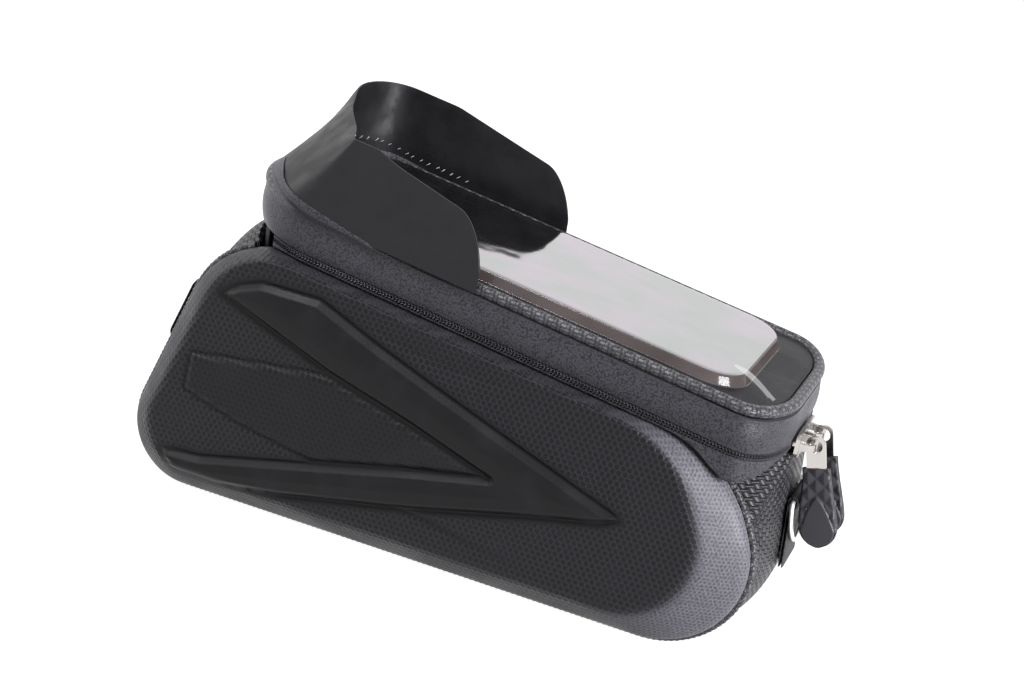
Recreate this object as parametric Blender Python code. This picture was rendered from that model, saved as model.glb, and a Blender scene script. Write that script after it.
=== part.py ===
"""Top tube phone bag: two moulded side shells on a sewn gusset, and a zipped lid with a raised clear window
and a sun visor. X runs from the front of the bag to the rear, Y across it, Z up, in metres. While the pieces
are drawn, X is 0 at the rear end of the lid, and the whole bag is then centred over the origin."""

import math

import bmesh
import bpy
from mathutils import Matrix, Vector

# General fits
GAP = 0.0003  # between pieces that touch
ARC_STEPS = 8  # segments in each rounded corner of an outline
EDGE_STEPS = 4  # segments in each straight edge of an outline
SEAM_START = 3  # steps into the front top corner where the sewn seam starts
SEAM_END = 4  # steps into the rear top corner where it ends

# Side profile of the sewn seam: corners in X and Z, then the radius that rounds each
SEAM_Z = 0.0022
FRONT_TOP = (-0.1848, 0.0931)
FRONT_BOTTOM = (-0.2164, SEAM_Z)
REAR_BOTTOM = (0.0153, SEAM_Z)
REAR_TOP = (-0.0146, 0.0678)
SEAM_RADII = (0.031, 0.020, 0.029, 0.045)

# Middle of the gusset, which stands out beyond the seams
GUSSET_WALL = 0.0016
GUSSET_FRONT_TOP = (-0.1850, 0.0925)
GUSSET_FRONT_LEAN = 0.345
GUSSET_REAR_TOP = (0.0003, 0.0665)
GUSSET_REAR_LEAN = 0.075
GUSSET_RADII = (0.008, 0.020, 0.028, 0.004)
GUSSET_ROUND = 3.0  # power of the curve across the gusset

# Widths
SEAM_HALF = 0.0330
PIPING_RADIUS = 0.0013
SHELL_DEPTH = 0.0109
SHELL_WALL = 0.0025

# Moulded face of the side shells: how far each sloped border reaches in from the seam
BORDER_FRONT = 0.0090
BORDER_BOTTOM = 0.0110
BORDER_REAR = 0.0155
BORDER_TOP = 0.0016
FACE_RADII = (0.022, 0.014, 0.024, 0.030)
BORDER_CURVE = ((0.0, 0.0), (0.10, 0.32), (0.50, 0.72), (0.80, 0.95), (1.0, 1.0))  # shares of reach and depth
BAR_HEIGHT = 0.0012
WEDGE_HEIGHT = 0.0006
EMBOSS_DRAFT = 0.0011
EMBOSS_ROOT = 0.0016

# Lid
HINGE_X = -0.1832  # axis that the lid turns on
HINGE_Z = 0.0961
LID_SLOPE = math.radians(8.47)
LID_Z = 0.0800
LID_LENGTH = 0.1860
LID_HALF = 0.0410
LID_REAR_CORNER = (0.015, 0.027)
LID_FRONT_CORNER = (0.030, 0.034)
LID_WALL = 0.0014
LID_WALL_TOP = -0.0006
LID_WALL_BOTTOM = -0.0112
LID_WALL_BULGE = 0.0008
RIM_RADIUS = 0.0019
FRAME_TOP = 0.0010
FRAME_THICKNESS = 0.0012
FRAME_WIDTH = 0.0034
FILM_THICKNESS = 0.0008
FILM_HEIGHT = 0.0036
FILM_FLANGE_SIDE = 0.0036
FILM_FLANGE_END = 0.0125
FILM_CORNER = 0.013
PANEL_THICKNESS = 0.0018
PANEL_DROP = 0.0095
PANEL_REAR = 0.030
PANEL_CORNER = 0.004

# Zip
TAPE_THICKNESS = 0.0006
TEETH_HEIGHT = 0.0007
TEETH_DEPTH = 0.0018
TAPE_UP = 0.0058
TAPE_DOWN = 0.0010
ZIP_FRONT = -0.148  # where both ends of the zip stop
HINGE_STRIP_HEIGHT = 0.010
COLLAR_THICKNESS = 0.0012
COLLAR_DEPTH = 0.0006
COLLAR_DROP = (0.0034, 0.0072)  # how far it hangs at the front and at the rear corners
COLLAR_DROP_PLACE = (-0.180, -0.0125)
COLLAR_DROP_LENGTH = (0.0090, 0.0105)
COLLAR_DROP_STEEP = (1.60, 1.65)  # how soon the drop is full past that place, at the front and the rear
COLLAR_DROP_ACROSS = (0.2, 0.5)  # share of the half width where it starts to deepen

# Visor
VISOR_THICKNESS = 0.0008
VISOR_REAR = -0.0995
VISOR_FRONT_HEIGHT = 0.0292
VISOR_REAR_HEIGHT = 0.0210
VISOR_FRONT_LEAN = 0.0170
VISOR_SIDE_LEAN = 0.0030
VISOR_SKEW = 0.38  # extra lean for each step towards -Y, where the sheet is bent further back
VISOR_BEND = 0.3  # share of the front's lean that the near and far sides take on at their front ends
VISOR_BEND_START = -0.128
VISOR_BEND_LENGTH = 0.028
VISOR_RISE = 0.045  # length over which its edge climbs from the rear height to the front height
VISOR_END_SHARE = 0.06
VISOR_STEPS = 9
VISOR_END_ROUND = 0.0110
VISOR_SIDE_ANGLE = math.radians(-12)
VISOR_FRONT_ANGLE = math.radians(110)

# Base
KEEPER_THICKNESS = 0.0012
KEEPER_LENGTH = 0.026
KEEPER_HALF_WIDTH = 0.020
KEEPER_PLACES = (-0.158, -0.052)
BOARD_THICKNESS = 0.0015
BOARD_HALF_WIDTH = 0.023
BOARD_FRONT = -0.190
BOARD_REAR = -0.028

# Strap loop on the front of the gusset
LOOP_HALF_WIDTH = 0.018
LOOP_THICKNESS = 0.0015
LOOP_TOP_Z = 0.069
LOOP_LENGTH = 0.036
LOOP_STAND = 0.0040
LOOP_RISE_SHARE = 0.25  # share of its length over which each end rises

# Webbing tab and ring on the rear of the gusset
TAB_HALF_WIDTH = 0.0100
TAB_THICKNESS = 0.0007
TAB_BOTTOM_Z = 0.0265
RING_WIRE = 0.00075
RING_BAR_Z = 0.0485
RING_HEIGHT = 0.0150
RING_TILT = math.radians(9)
RING_CORNER = 0.0022
FOLD_ROOM = 0.0003  # between the ring's bar and the webbing folded over it
FOLD_BACK_DROP = 0.0040  # below the bar, where the fold starts behind it
FOLD_FRONT_DROP = (0.0035, 0.0060)  # and where it comes back to lie flat in front

# Zip sliders and pulls
SLIDER_SPACING = 0.0120
SLIDER_MIDDLE = -0.0025
SLIDER_LENGTH = 0.0110
SLIDER_FOOT_LENGTH = 0.0080
SLIDER_HEIGHT = 0.0078
SLIDER_PLATE = 0.0012
BRIDGE_REACH = 0.0043
BRIDGE_WIDTH = 0.0022
BRIDGE_THICKNESS = 0.0011
PULL_TILT = math.radians(14.5)
PULL_HALF_WIDTH = 0.0030
PULL_THICKNESS = 0.0012
PULL_HOLE = 0.0021
PULL_STEM = 0.0120
GRIP_TOP = 0.0070
GRIP_BOTTOM = 0.0322
GRIP_THICKNESS = 0.0032
GRIP_TOP_HALF = 0.0043
GRIP_LOW_HALF = 0.0060
GRIP_EDGE = 0.0009  # cut off each long edge
GRIP_WIDEST = 0.80  # share of the grip's length where it is widest
GRIP_TAIL = 0.72  # share where its end starts to round off
GRIP_TAIL_ROUND = 2.4
GRIP_END_SHARE = 0.11

GUSSET_Z = KEEPER_THICKNESS + GAP
PIPING_ROOM = PIPING_RADIUS + GAP
GUSSET_HALF = SEAM_HALF - PIPING_ROOM
SHELL_SEAM_Y = SEAM_HALF + PIPING_ROOM
FACE_Y = SHELL_SEAM_Y + SHELL_DEPTH
RING_HALF_WIDTH = TAB_HALF_WIDTH + RING_WIRE + 2 * GAP

# Raised bars of the moulded face, in X and Z
BAR_OUTLINE = (
    (-0.1790, 0.0740), (-0.1730, 0.0780), (-0.1660, 0.0805), (-0.1460, 0.0805), (-0.1260, 0.0720),
    (-0.1060, 0.0644), (-0.0744, 0.0530), (-0.0407, 0.0410), (-0.0460, 0.0384), (-0.0705, 0.0326),
    (-0.1090, 0.0226), (-0.1490, 0.0140), (-0.1720, 0.0106), (-0.1890, 0.0106), (-0.1935, 0.0166),
    (-0.1790, 0.0177), (-0.1410, 0.0270), (-0.1110, 0.0346), (-0.0820, 0.0412), (-0.1100, 0.0506),
    (-0.1396, 0.0590),
)
WEDGE_OUTLINE = (
    (-0.1870, 0.0516), (-0.1630, 0.0548), (-0.1400, 0.0576), (-0.1095, 0.0492), (-0.0838, 0.0412),
    (-0.1113, 0.0357), (-0.1410, 0.0284), (-0.1665, 0.0328), (-0.1880, 0.0390),
)


def new_collection(name, hidden=False):
    """A collection in the scene, hidden from renders if it holds cutters."""
    collection = bpy.data.collections.new(name)
    collection.hide_render = hidden
    bpy.context.scene.collection.children.link(collection)
    return collection


def new_material(name, colour, roughness, metallic=0.0, alpha=1.0):
    """A plain Principled material."""
    material = bpy.data.materials.new(name)
    material.use_nodes = True
    shader = material.node_tree.nodes["Principled BSDF"]
    shader.inputs["Base Color"].default_value = (*colour, 1.0)
    shader.inputs["Roughness"].default_value = roughness
    shader.inputs["Metallic"].default_value = metallic
    shader.inputs["Alpha"].default_value = alpha
    return material


def place(obj, material, holder=None):
    """Puts a finished object in the bag's collection, with its material, under its empty."""
    obj.data.materials.append(material)
    PARTS.objects.link(obj)
    obj.parent = holder or BAG
    if holder:
        obj.location = -holder.location
    return obj


def new_empty(name, location=(0, 0, 0), parent=None):
    """An empty that carries the pieces of one body."""
    empty = bpy.data.objects.new(name, None)
    empty.location = location
    empty.parent = parent
    PARTS.objects.link(empty)
    return empty


def skin(name, loops, closed=False):
    """A mesh over a row of closed loops of points, capped at both ends or joined end to start."""
    mesh = bpy.data.meshes.new(name)
    work = bmesh.new()
    rows = [[work.verts.new(point) for point in loop] for loop in loops]
    count = len(rows[0])
    pairs = list(zip(rows, rows[1:]))
    if closed:
        pairs.append((rows[-1], rows[0]))
    for first, second in pairs:
        for j in range(count):
            k = (j + 1) % count
            work.faces.new((first[j], first[k], second[k], second[j]))
    if not closed:
        work.faces.new(rows[0][::-1])
        work.faces.new(rows[-1])
    bmesh.ops.recalc_face_normals(work, faces=work.faces)
    work.to_mesh(mesh)
    work.free()
    mesh.shade_smooth()
    mesh.set_sharp_from_angle(angle=math.radians(35))
    return bpy.data.objects.new(name, mesh)


def tube(name, points, radius, cyclic=False):
    """A round cord along a row of points."""
    curve = bpy.data.curves.new(name, "CURVE")
    curve.dimensions = "3D"
    curve.bevel_depth = radius
    curve.bevel_resolution = 2
    curve.use_fill_caps = True
    spline = curve.splines.new("POLY")
    spline.points.add(len(points) - 1)
    for target, point in zip(spline.points, points):
        target.co = (*point, 1.0)
    spline.use_cyclic_u = cyclic
    return bpy.data.objects.new(name, curve)


def joined(obj, other, operation):
    """Adds a Boolean with another object, which becomes a hidden cutter."""
    CUTTERS.objects.link(other)
    other.parent = BAG
    other.hide_render = True
    other.display_type = "WIRE"
    modifier = obj.modifiers.new(other.name, "BOOLEAN")
    modifier.operation = operation
    modifier.object = other
    return obj


def moved_in(corners, reaches):
    """A polygon with each edge moved inwards by its own reach. Edge i runs from corner i to the next one."""
    count = len(corners)
    middle = sum((Vector(corner) for corner in corners), Vector((0, 0))) / count
    lines = []
    for i in range(count):
        start = Vector(corners[i])
        along = (Vector(corners[(i + 1) % count]) - start).normalized()
        inward = Vector((-along.y, along.x))
        if inward.dot(middle - start) < 0:
            inward = -inward
        lines.append((start + inward * reaches[i], along))
    result = []
    for i in range(count):
        (a, da), (b, db) = lines[i - 1], lines[i]
        distance = (b - a).cross(db) / da.cross(db)
        result.append(tuple(a + da * distance))
    return result


def rounded(corners, radii):
    """A closed outline: an arc at each corner, then the straight edge to the next, in even steps."""
    count = len(corners)
    arcs = []
    for i in range(count):
        corner = Vector(corners[i])
        back = (Vector(corners[i - 1]) - corner).normalized()
        ahead = (Vector(corners[(i + 1) % count]) - corner).normalized()
        half = back.angle(ahead) / 2
        centre = corner + (back + ahead).normalized() * radii[i] / math.sin(half)
        start = corner + back * radii[i] / math.tan(half) - centre
        end = corner + ahead * radii[i] / math.tan(half) - centre
        sweep = start.angle_signed(end)
        arcs.append([centre + turned(start, sweep * k / ARC_STEPS) for k in range(ARC_STEPS + 1)])
    points = []
    for i in range(count):
        first, last = arcs[i][-1], arcs[(i + 1) % count][0]
        points += arcs[i]
        points += [first.lerp(last, k / EDGE_STEPS) for k in range(1, EDGE_STEPS)]
    return points


def turned(vector, angle):
    """A 2D vector turned clockwise, which is how mathutils signs its angles."""
    c, s = math.cos(angle), math.sin(angle)
    return Vector((vector.x * c + vector.y * s, -vector.x * s + vector.y * c))


def rectangle(length, height, corner):
    """A rounded rectangle round the origin."""
    a, b = length / 2, height / 2
    return rounded(((-a, -b), (a, -b), (a, b), (-a, b)), [corner] * 4)


def seam_path(outline):
    """The stretch of an outline that is sewn to the gusset, from the front top round to the rear top."""
    corner = ARC_STEPS + EDGE_STEPS
    return outline[SEAM_START: 3 * corner + SEAM_END + 1]


def smooth(value):
    """0 below 0, 1 above 1 and an easy curve between."""
    value = min(max(value, 0.0), 1.0)
    return value * value * (3 - 2 * value)


# Side shells

SEAM_CORNERS = (FRONT_TOP, FRONT_BOTTOM, REAR_BOTTOM, REAR_TOP)
BORDERS = (BORDER_FRONT, BORDER_BOTTOM, BORDER_REAR, BORDER_TOP)


def shell_ring(side, reach_share, depth, wall):
    """One outline of a shell, part of the way up its border, moved in by the wall for the inside."""
    reaches = [reach * reach_share + wall for reach in BORDERS]
    radii = [
        seam + (face - seam) * reach_share - wall
        for seam, face in zip(SEAM_RADII, FACE_RADII)
    ]
    outline = rounded(moved_in(SEAM_CORNERS, reaches), radii)
    return [Vector((x, side * (SHELL_SEAM_Y + depth), z)) for x, z in outline]


def emboss(name, outline, height, side):
    """A raised form on a shell's face, with sloped sides."""
    inner = moved_in(outline, [EMBOSS_DRAFT] * len(outline))
    loops = []
    for points, y in ((outline, FACE_Y - EMBOSS_ROOT), (outline, FACE_Y), (inner, FACE_Y + height)):
        loops.append([Vector((x, side * y, z)) for x, z in points])
    return skin(name, loops)


def side_shell(name, side):
    """A moulded dish with a sloped border and raised bars on its face."""
    inside = [
        shell_ring(side, share, depth * (SHELL_DEPTH - SHELL_WALL), SHELL_WALL)
        for share, depth in reversed(BORDER_CURVE)
    ]
    outside = [shell_ring(side, share, depth * SHELL_DEPTH, 0.0) for share, depth in BORDER_CURVE]
    shell = place(skin(name, inside + outside), MOULDED)
    joined(shell, emboss(name + "_bar", BAR_OUTLINE, BAR_HEIGHT, side), "UNION")
    joined(shell, emboss(name + "_wedge", WEDGE_OUTLINE, WEDGE_HEIGHT, side), "UNION")
    return shell


# Gusset, its piping and what is sewn to it

def gusset_corners():
    """Corners of the gusset's middle line, from the leans of its two ends."""
    front_rise = GUSSET_FRONT_TOP[1] - GUSSET_Z
    rear_rise = GUSSET_REAR_TOP[1] - GUSSET_Z
    return (
        GUSSET_FRONT_TOP,
        (GUSSET_FRONT_TOP[0] - front_rise * GUSSET_FRONT_LEAN, GUSSET_Z),
        (GUSSET_REAR_TOP[0] + rear_rise * GUSSET_REAR_LEAN, GUSSET_Z),
        GUSSET_REAR_TOP,
    )


def gusset_lines(wall):
    """The gusset's line along the seams and along its middle, moved in by the wall for the inside."""
    inward = [wall] * 4
    seam = rounded(moved_in(SEAM_CORNERS, inward), [radius - wall for radius in SEAM_RADII])
    middle = rounded(moved_in(gusset_corners(), inward), [radius - wall for radius in GUSSET_RADII])
    return seam_path(seam), seam_path(middle)


def gusset():
    """The strip between the two shells, curved outwards across its width."""
    shares = (-1.0, -0.85, -0.65, -0.4, 0.0, 0.4, 0.65, 0.85, 1.0)
    outer_seam, outer_middle = gusset_lines(0.0)
    inner_seam, inner_middle = gusset_lines(GUSSET_WALL)
    loops = []
    for station in range(len(outer_seam)):
        loop = []
        for seam, middle, order in (
            (outer_seam[station], outer_middle[station], shares),
            (inner_seam[station], inner_middle[station], shares[::-1]),
        ):
            for share in order:
                x, z = seam.lerp(middle, 1 - abs(share) ** GUSSET_ROUND)
                loop.append(Vector((x, share * GUSSET_HALF, z)))
        loops.append(loop)
    return place(skin("gusset", loops), WOVEN)


def seam_piping(name, side):
    """The bound edge of the seam between a shell and the gusset."""
    outline = rounded(moved_in(SEAM_CORNERS, [-GAP] * 4), [radius + GAP for radius in SEAM_RADII])
    points = [Vector((x, side * SEAM_HALF, z)) for x, z in seam_path(outline)]
    return place(tube(name, points, PIPING_RADIUS), WOVEN)


def slab(name, x_low, x_high, half_width, z_low, thickness, material):
    """A flat strip with rounded corners: a flat outline with a thickness."""
    x_middle, half_length = (x_low + x_high) / 2, (x_high - x_low) / 2
    outline = rectangle(2 * half_length, 2 * half_width, min(half_width, half_length) / 4)
    curve = bpy.data.curves.new(name, "CURVE")
    curve.dimensions = "2D"
    curve.fill_mode = "BOTH"
    curve.extrude = thickness / 2
    spline = curve.splines.new("POLY")
    spline.points.add(len(outline) - 1)
    for target, point in zip(spline.points, outline):
        target.co = (*point, 0.0, 1.0)
    spline.use_cyclic_u = True
    obj = place(bpy.data.objects.new(name, curve), material)
    obj.location = (x_middle, 0, z_low + thickness / 2)
    return obj


def base_pieces():
    """The stiffener inside the base and the two webbing keepers under it."""
    board_z = SEAM_Z + GUSSET_WALL
    slab("base_board", BOARD_FRONT, BOARD_REAR, BOARD_HALF_WIDTH, board_z, BOARD_THICKNESS, BOARD)
    for name, x in zip(("base_keeper_front", "base_keeper_rear"), KEEPER_PLACES):
        low, high = x - KEEPER_LENGTH / 2, x + KEEPER_LENGTH / 2
        slab(name, low, high, KEEPER_HALF_WIDTH, 0.0, KEEPER_THICKNESS, WEBBING)


def ribbon(name, path, half_width, thickness, material):
    """A flat band that follows a path in X and Z, across the bag."""
    loops = []
    for i, point in enumerate(path):
        before, after = path[max(i - 1, 0)], path[min(i + 1, len(path) - 1)]
        along = (after - before).normalized()
        side = Vector((along.y, -along.x)) * thickness / 2
        low, high = point - side, point + side
        loops.append([
            Vector((low.x, -half_width, low.y)), Vector((high.x, -half_width, high.y)),
            Vector((high.x, half_width, high.y)), Vector((low.x, half_width, low.y)),
        ])
    return place(skin(name, loops), material)


def front_strap_loop():
    """Webbing that stands off the front of the gusset, for a strap to pass behind it."""
    along = Vector((-GUSSET_FRONT_LEAN, -1.0)).normalized()
    out = Vector((along.y, -along.x))
    drop = GUSSET_FRONT_TOP[1] - LOOP_TOP_Z
    start = Vector((GUSSET_FRONT_TOP[0] - drop * GUSSET_FRONT_LEAN, LOOP_TOP_Z))
    seat = GAP + LOOP_THICKNESS / 2
    steps = 12
    path = []
    for i in range(steps + 1):
        share = i / steps
        rise = smooth(min(share, 1 - share) / LOOP_RISE_SHARE)
        path.append(start + along * LOOP_LENGTH * share + out * (seat + LOOP_STAND * rise))
    return ribbon("front_strap_loop", path, LOOP_HALF_WIDTH, LOOP_THICKNESS, WEBBING)


def rear_wall_x(z):
    """X of the gusset's middle at the rear, at a height."""
    return GUSSET_REAR_TOP[0] + (GUSSET_REAR_TOP[1] - z) * GUSSET_REAR_LEAN


def ring_bar():
    """Where the straight bar of the ring lies, inside the fold of the tab."""
    reach = GAP + TAB_THICKNESS + FOLD_ROOM + RING_WIRE
    return Vector((rear_wall_x(RING_BAR_Z) + reach, RING_BAR_Z))


def rear_tab():
    """Webbing sewn to the rear, folded over the bar of the ring."""
    bar = ring_bar()
    fold = RING_WIRE + FOLD_ROOM + TAB_THICKNESS / 2
    back = GAP + TAB_THICKNESS / 2
    front = back + TAB_THICKNESS + GAP
    path = [Vector((rear_wall_x(z) + back, z)) for z in (TAB_BOTTOM_Z, RING_BAR_Z - FOLD_BACK_DROP)]
    for i in range(ARC_STEPS + 1):
        angle = math.pi * (1 - i / ARC_STEPS)
        path.append(bar + Vector((math.cos(angle), math.sin(angle))) * fold)
    for drop, reach in ((FOLD_FRONT_DROP[0], front + 2 * FOLD_ROOM), (FOLD_FRONT_DROP[1], front)):
        z = RING_BAR_Z - drop
        path.append(Vector((rear_wall_x(z) + reach, z)))
    path.append(Vector((rear_wall_x(TAB_BOTTOM_Z) + front, TAB_BOTTOM_Z)))
    return ribbon("rear_webbing_tab", path, TAB_HALF_WIDTH, TAB_THICKNESS, WEBBING)


def d_ring():
    """A wire ring with one straight side, which hangs from the tab."""
    flat = [Vector((-RING_HALF_WIDTH + RING_CORNER, 0)), Vector((RING_HALF_WIDTH - RING_CORNER, 0))]
    for i in range(1, ARC_STEPS // 2 + 1):
        angle = math.radians(90) * (1 - 2 * i / ARC_STEPS)
        centre = Vector((RING_HALF_WIDTH - RING_CORNER, RING_CORNER))
        flat.append(centre + Vector((math.cos(angle), -math.sin(angle))) * RING_CORNER)
    steps = 2 * ARC_STEPS
    for i in range(steps + 1):
        angle = math.pi * i / steps
        bow = Vector((math.cos(angle), math.sin(angle))) * RING_HALF_WIDTH
        flat.append(Vector((bow.x, RING_HEIGHT - RING_HALF_WIDTH + bow.y)))
    for i in range(ARC_STEPS // 2):
        angle = math.radians(90) * 2 * i / ARC_STEPS
        centre = Vector((-RING_HALF_WIDTH + RING_CORNER, RING_CORNER))
        flat.append(centre + Vector((-math.cos(angle), -math.sin(angle))) * RING_CORNER)
    bar = ring_bar()
    obj = tube("d_ring", [Vector((math.sin(RING_TILT) * d, y, -math.cos(RING_TILT) * d)) for y, d in flat],
               RING_WIRE, cyclic=True)
    obj.location = (bar.x, 0, bar.y)
    return place(obj, STEEL)


# Lid

def lid_point(u, v, w):
    """A point given along the lid, across it and straight up from it."""
    return Vector((u * math.cos(LID_SLOPE), v, LID_Z - u * math.sin(LID_SLOPE) + w))


def lid_plan(front, rear, half, front_corner, rear_corner):
    """A closed plan in the lid's plane with elliptic corners, from the middle of the front round the -Y side."""
    points = []
    for (length, width), end, turn in ((front_corner, front, 1), (rear_corner, rear, -1)):
        arc = []
        for i in range(ARC_STEPS + 1):
            angle = math.radians(90) * i / ARC_STEPS
            u = end + turn * length * (1 - math.cos(angle))
            arc.append(Vector((u, -half + width * (1 - math.sin(angle)))))
        points.append(arc if turn > 0 else arc[::-1])
    front_arc, rear_arc = points
    sides = 2 * ARC_STEPS
    straight = [front_arc[-1].lerp(rear_arc[0], i / sides) for i in range(1, sides)]
    half_plan = [Vector((front, 0))] + front_arc + straight + rear_arc + [Vector((rear, 0))]
    mirrored = [Vector((p.x, -p.y)) for p in reversed(half_plan[1:-1])]
    return half_plan + mirrored


RIM_PLAN = lid_plan(-LID_LENGTH, 0.0, LID_HALF, LID_FRONT_CORNER, LID_REAR_CORNER)


def plan_normals(plan):
    """The outward direction at each point of a closed plan."""
    normals = []
    for i, point in enumerate(plan):
        along = (plan[(i + 1) % len(plan)] - plan[i - 1]).normalized()
        normals.append(Vector((-along.y, along.x)))
    middle = sum(plan, Vector((0, 0))) / len(plan)
    return [n if n.dot(p - middle) > 0 else -n for n, p in zip(normals, plan)]


RIM_NORMALS = plan_normals(RIM_PLAN)


def rim_point(i, inset, w):
    """A point of the rim's plan, moved inwards and up."""
    p = RIM_PLAN[i] - RIM_NORMALS[i] * inset
    return lid_point(p.x, p.y, w)


def rim_band(name, section, material, holder, stations=None):
    """A band round the rim, or along part of it, from a section of insets and heights at each station."""
    ring = stations is None
    stations = range(len(RIM_PLAN)) if ring else stations
    loops = [[rim_point(i, inset, w) for inset, w in section(i)] for i in stations]
    return place(skin(name, loops, closed=ring), material, holder)


def zip_stations():
    """The stations of the rim that the zip follows: all but the front end."""
    return [i for i, p in enumerate(RIM_PLAN) if p.x > ZIP_FRONT]


def box_section(inset, depth, low, high):
    """A rectangle of insets and heights, the same at each station."""
    return lambda i: ((inset, high), (inset, low), (inset + depth, low), (inset + depth, high))


def lid_wall():
    """The soft side wall of the lid, a little bowed."""
    height = LID_WALL_TOP - LID_WALL_BOTTOM
    bow = ((0.0, LID_WALL_BULGE), (0.3, 0.0), (0.75, 0.0002), (1.0, LID_WALL_BULGE))
    outer = [(inset, LID_WALL_TOP - share * height) for share, inset in bow]
    inner = [(inset + LID_WALL, w) for inset, w in reversed(outer)]
    return rim_band("lid_wall", lambda i: outer + inner, COATED, LID)


def lid_rim_piping():
    """The bound edge round the top of the lid."""
    w = LID_WALL_TOP + GAP + RIM_RADIUS
    points = [rim_point(i, RIM_RADIUS, w) for i in range(len(RIM_PLAN))]
    return place(tube("lid_rim_piping", points, RIM_RADIUS, cyclic=True), WOVEN, LID)


LINING_INSET = LID_WALL_BULGE + LID_WALL + GAP
FILM_BASE = FRAME_TOP + GAP
FILM_INSET = 2 * RIM_RADIUS + GAP


def window_frame():
    """The stiff border under the edge of the window."""
    section = box_section(FILM_INSET, FRAME_WIDTH, FRAME_TOP - FRAME_THICKNESS, FRAME_TOP)
    return rim_band("window_frame", section, COATED, LID)


def film_box(grow, w):
    """One outline of the raised part of the window."""
    inset = FILM_INSET + FILM_FLANGE_SIDE - grow
    front = -LID_LENGTH + FILM_INSET + FILM_FLANGE_END - grow
    rear = -(FILM_INSET + FILM_FLANGE_END) + grow
    corner = FILM_CORNER + grow
    plan = lid_plan(front, rear, LID_HALF - inset, (corner, corner), (corner, corner))
    return [lid_point(p.x, p.y, w) for p in plan]


def film_edge(w):
    """The outer outline of the window's flat border."""
    return [rim_point(i, FILM_INSET, w) for i in range(len(RIM_PLAN))]


def window_film():
    """The clear window: a flat border and a raised box, one formed sheet."""
    crown = FILM_THICKNESS
    top = FILM_BASE + FILM_HEIGHT
    under = [
        film_box(-3 * FILM_THICKNESS, top),
        film_box(-2 * FILM_THICKNESS, top - crown),
        film_box(-FILM_THICKNESS, FILM_BASE),
        film_edge(FILM_BASE),
    ]
    over = [
        film_edge(FILM_BASE + FILM_THICKNESS),
        film_box(0.0, FILM_BASE + FILM_THICKNESS),
        film_box(-FILM_THICKNESS, top - crown + FILM_THICKNESS),
        film_box(-3 * FILM_THICKNESS, top + FILM_THICKNESS),
    ]
    return place(skin("window_film", under + over), FILM, LID)


def phone_panel():
    """The padded floor of the phone pocket. It stops short of the rear, where the phone slides in."""
    inset = LINING_INSET + TAPE_THICKNESS + GAP
    front = [length - inset for length in LID_FRONT_CORNER]
    plan = lid_plan(-LID_LENGTH + inset, -PANEL_REAR, LID_HALF - inset, front, (PANEL_CORNER, PANEL_CORNER))
    loops = [[lid_point(p.x, p.y, w) for p in plan] for w in (-PANEL_DROP - PANEL_THICKNESS, -PANEL_DROP)]
    return place(skin("phone_pocket_panel", loops), PADDED, LID)


def visor_line():
    """Points and outward directions along the visor's base, from its -Y end round the front to its +Y end."""
    corner = -LID_LENGTH + LID_FRONT_CORNER[0]
    ends = [VISOR_REAR + (corner - VISOR_REAR) * (k / VISOR_STEPS) ** 1.7 for k in range(VISOR_STEPS)]
    front = sorted((i for i, p in enumerate(RIM_PLAN) if p.x < corner + GAP), key=lambda i: RIM_PLAN[i].y)
    near = [(Vector((u, -LID_HALF)), Vector((0, -1))) for u in ends]
    far = [(Vector((u, LID_HALF)), Vector((0, 1))) for u in reversed(ends)]
    return near + [(RIM_PLAN[i], RIM_NORMALS[i]) for i in front] + far


def visor():
    """A bent plastic sheet that stands round the front of the window, sewn on over the rim piping."""
    reach = RIM_RADIUS + GAP + VISOR_THICKNESS
    centre_w = LID_WALL_TOP + GAP + RIM_RADIUS
    loops = []
    for point, normal in visor_line():
        back = VISOR_REAR - point.x
        facing = max(-normal.x, 0.0)
        angle = VISOR_SIDE_ANGLE + (VISOR_FRONT_ANGLE - VISOR_SIDE_ANGLE) * smooth(facing)
        end = min(back / VISOR_END_ROUND + VISOR_END_SHARE, 1.0)
        rise = min(back / VISOR_RISE, 1.0)
        top_w = VISOR_REAR_HEIGHT + (VISOR_FRONT_HEIGHT - VISOR_REAR_HEIGHT) * rise
        top_w *= math.sqrt(1 - (1 - end) ** 2)
        base = point - normal * (RIM_RADIUS - reach * math.cos(angle))
        base_w = centre_w + reach * math.sin(angle)
        bend = VISOR_BEND * smooth((VISOR_BEND_START - point.x) / VISOR_BEND_LENGTH)
        leaning = facing + (1 - facing) * bend
        lean = Vector((leaning * (VISOR_FRONT_LEAN - VISOR_SKEW * point.y), 0))
        lean -= normal * (1 - facing) * VISOR_SIDE_LEAN * top_w / VISOR_FRONT_HEIGHT
        outer, inner = [], []
        for share in (0.0, 0.5, 1.0):
            middle = base + lean * share
            w = base_w + (top_w - base_w) * share
            for row, side in ((outer, 0.5), (inner, -0.5)):
                p = middle + normal * VISOR_THICKNESS * side
                row.append(lid_point(p.x, p.y, w))
        loops.append(outer + inner[::-1])
    return place(skin("visor", loops), VISOR, LID)


# Zip

TAPE_INSET = LINING_INSET
TEETH_INSET = LINING_INSET - TEETH_DEPTH + TAPE_THICKNESS
UPPER_TEETH_TOP = LID_WALL_BOTTOM - GAP
LOWER_TEETH_TOP = UPPER_TEETH_TOP - TEETH_HEIGHT - GAP
LOWER_TAPE_TOP = LOWER_TEETH_TOP - TEETH_HEIGHT - GAP


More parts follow.
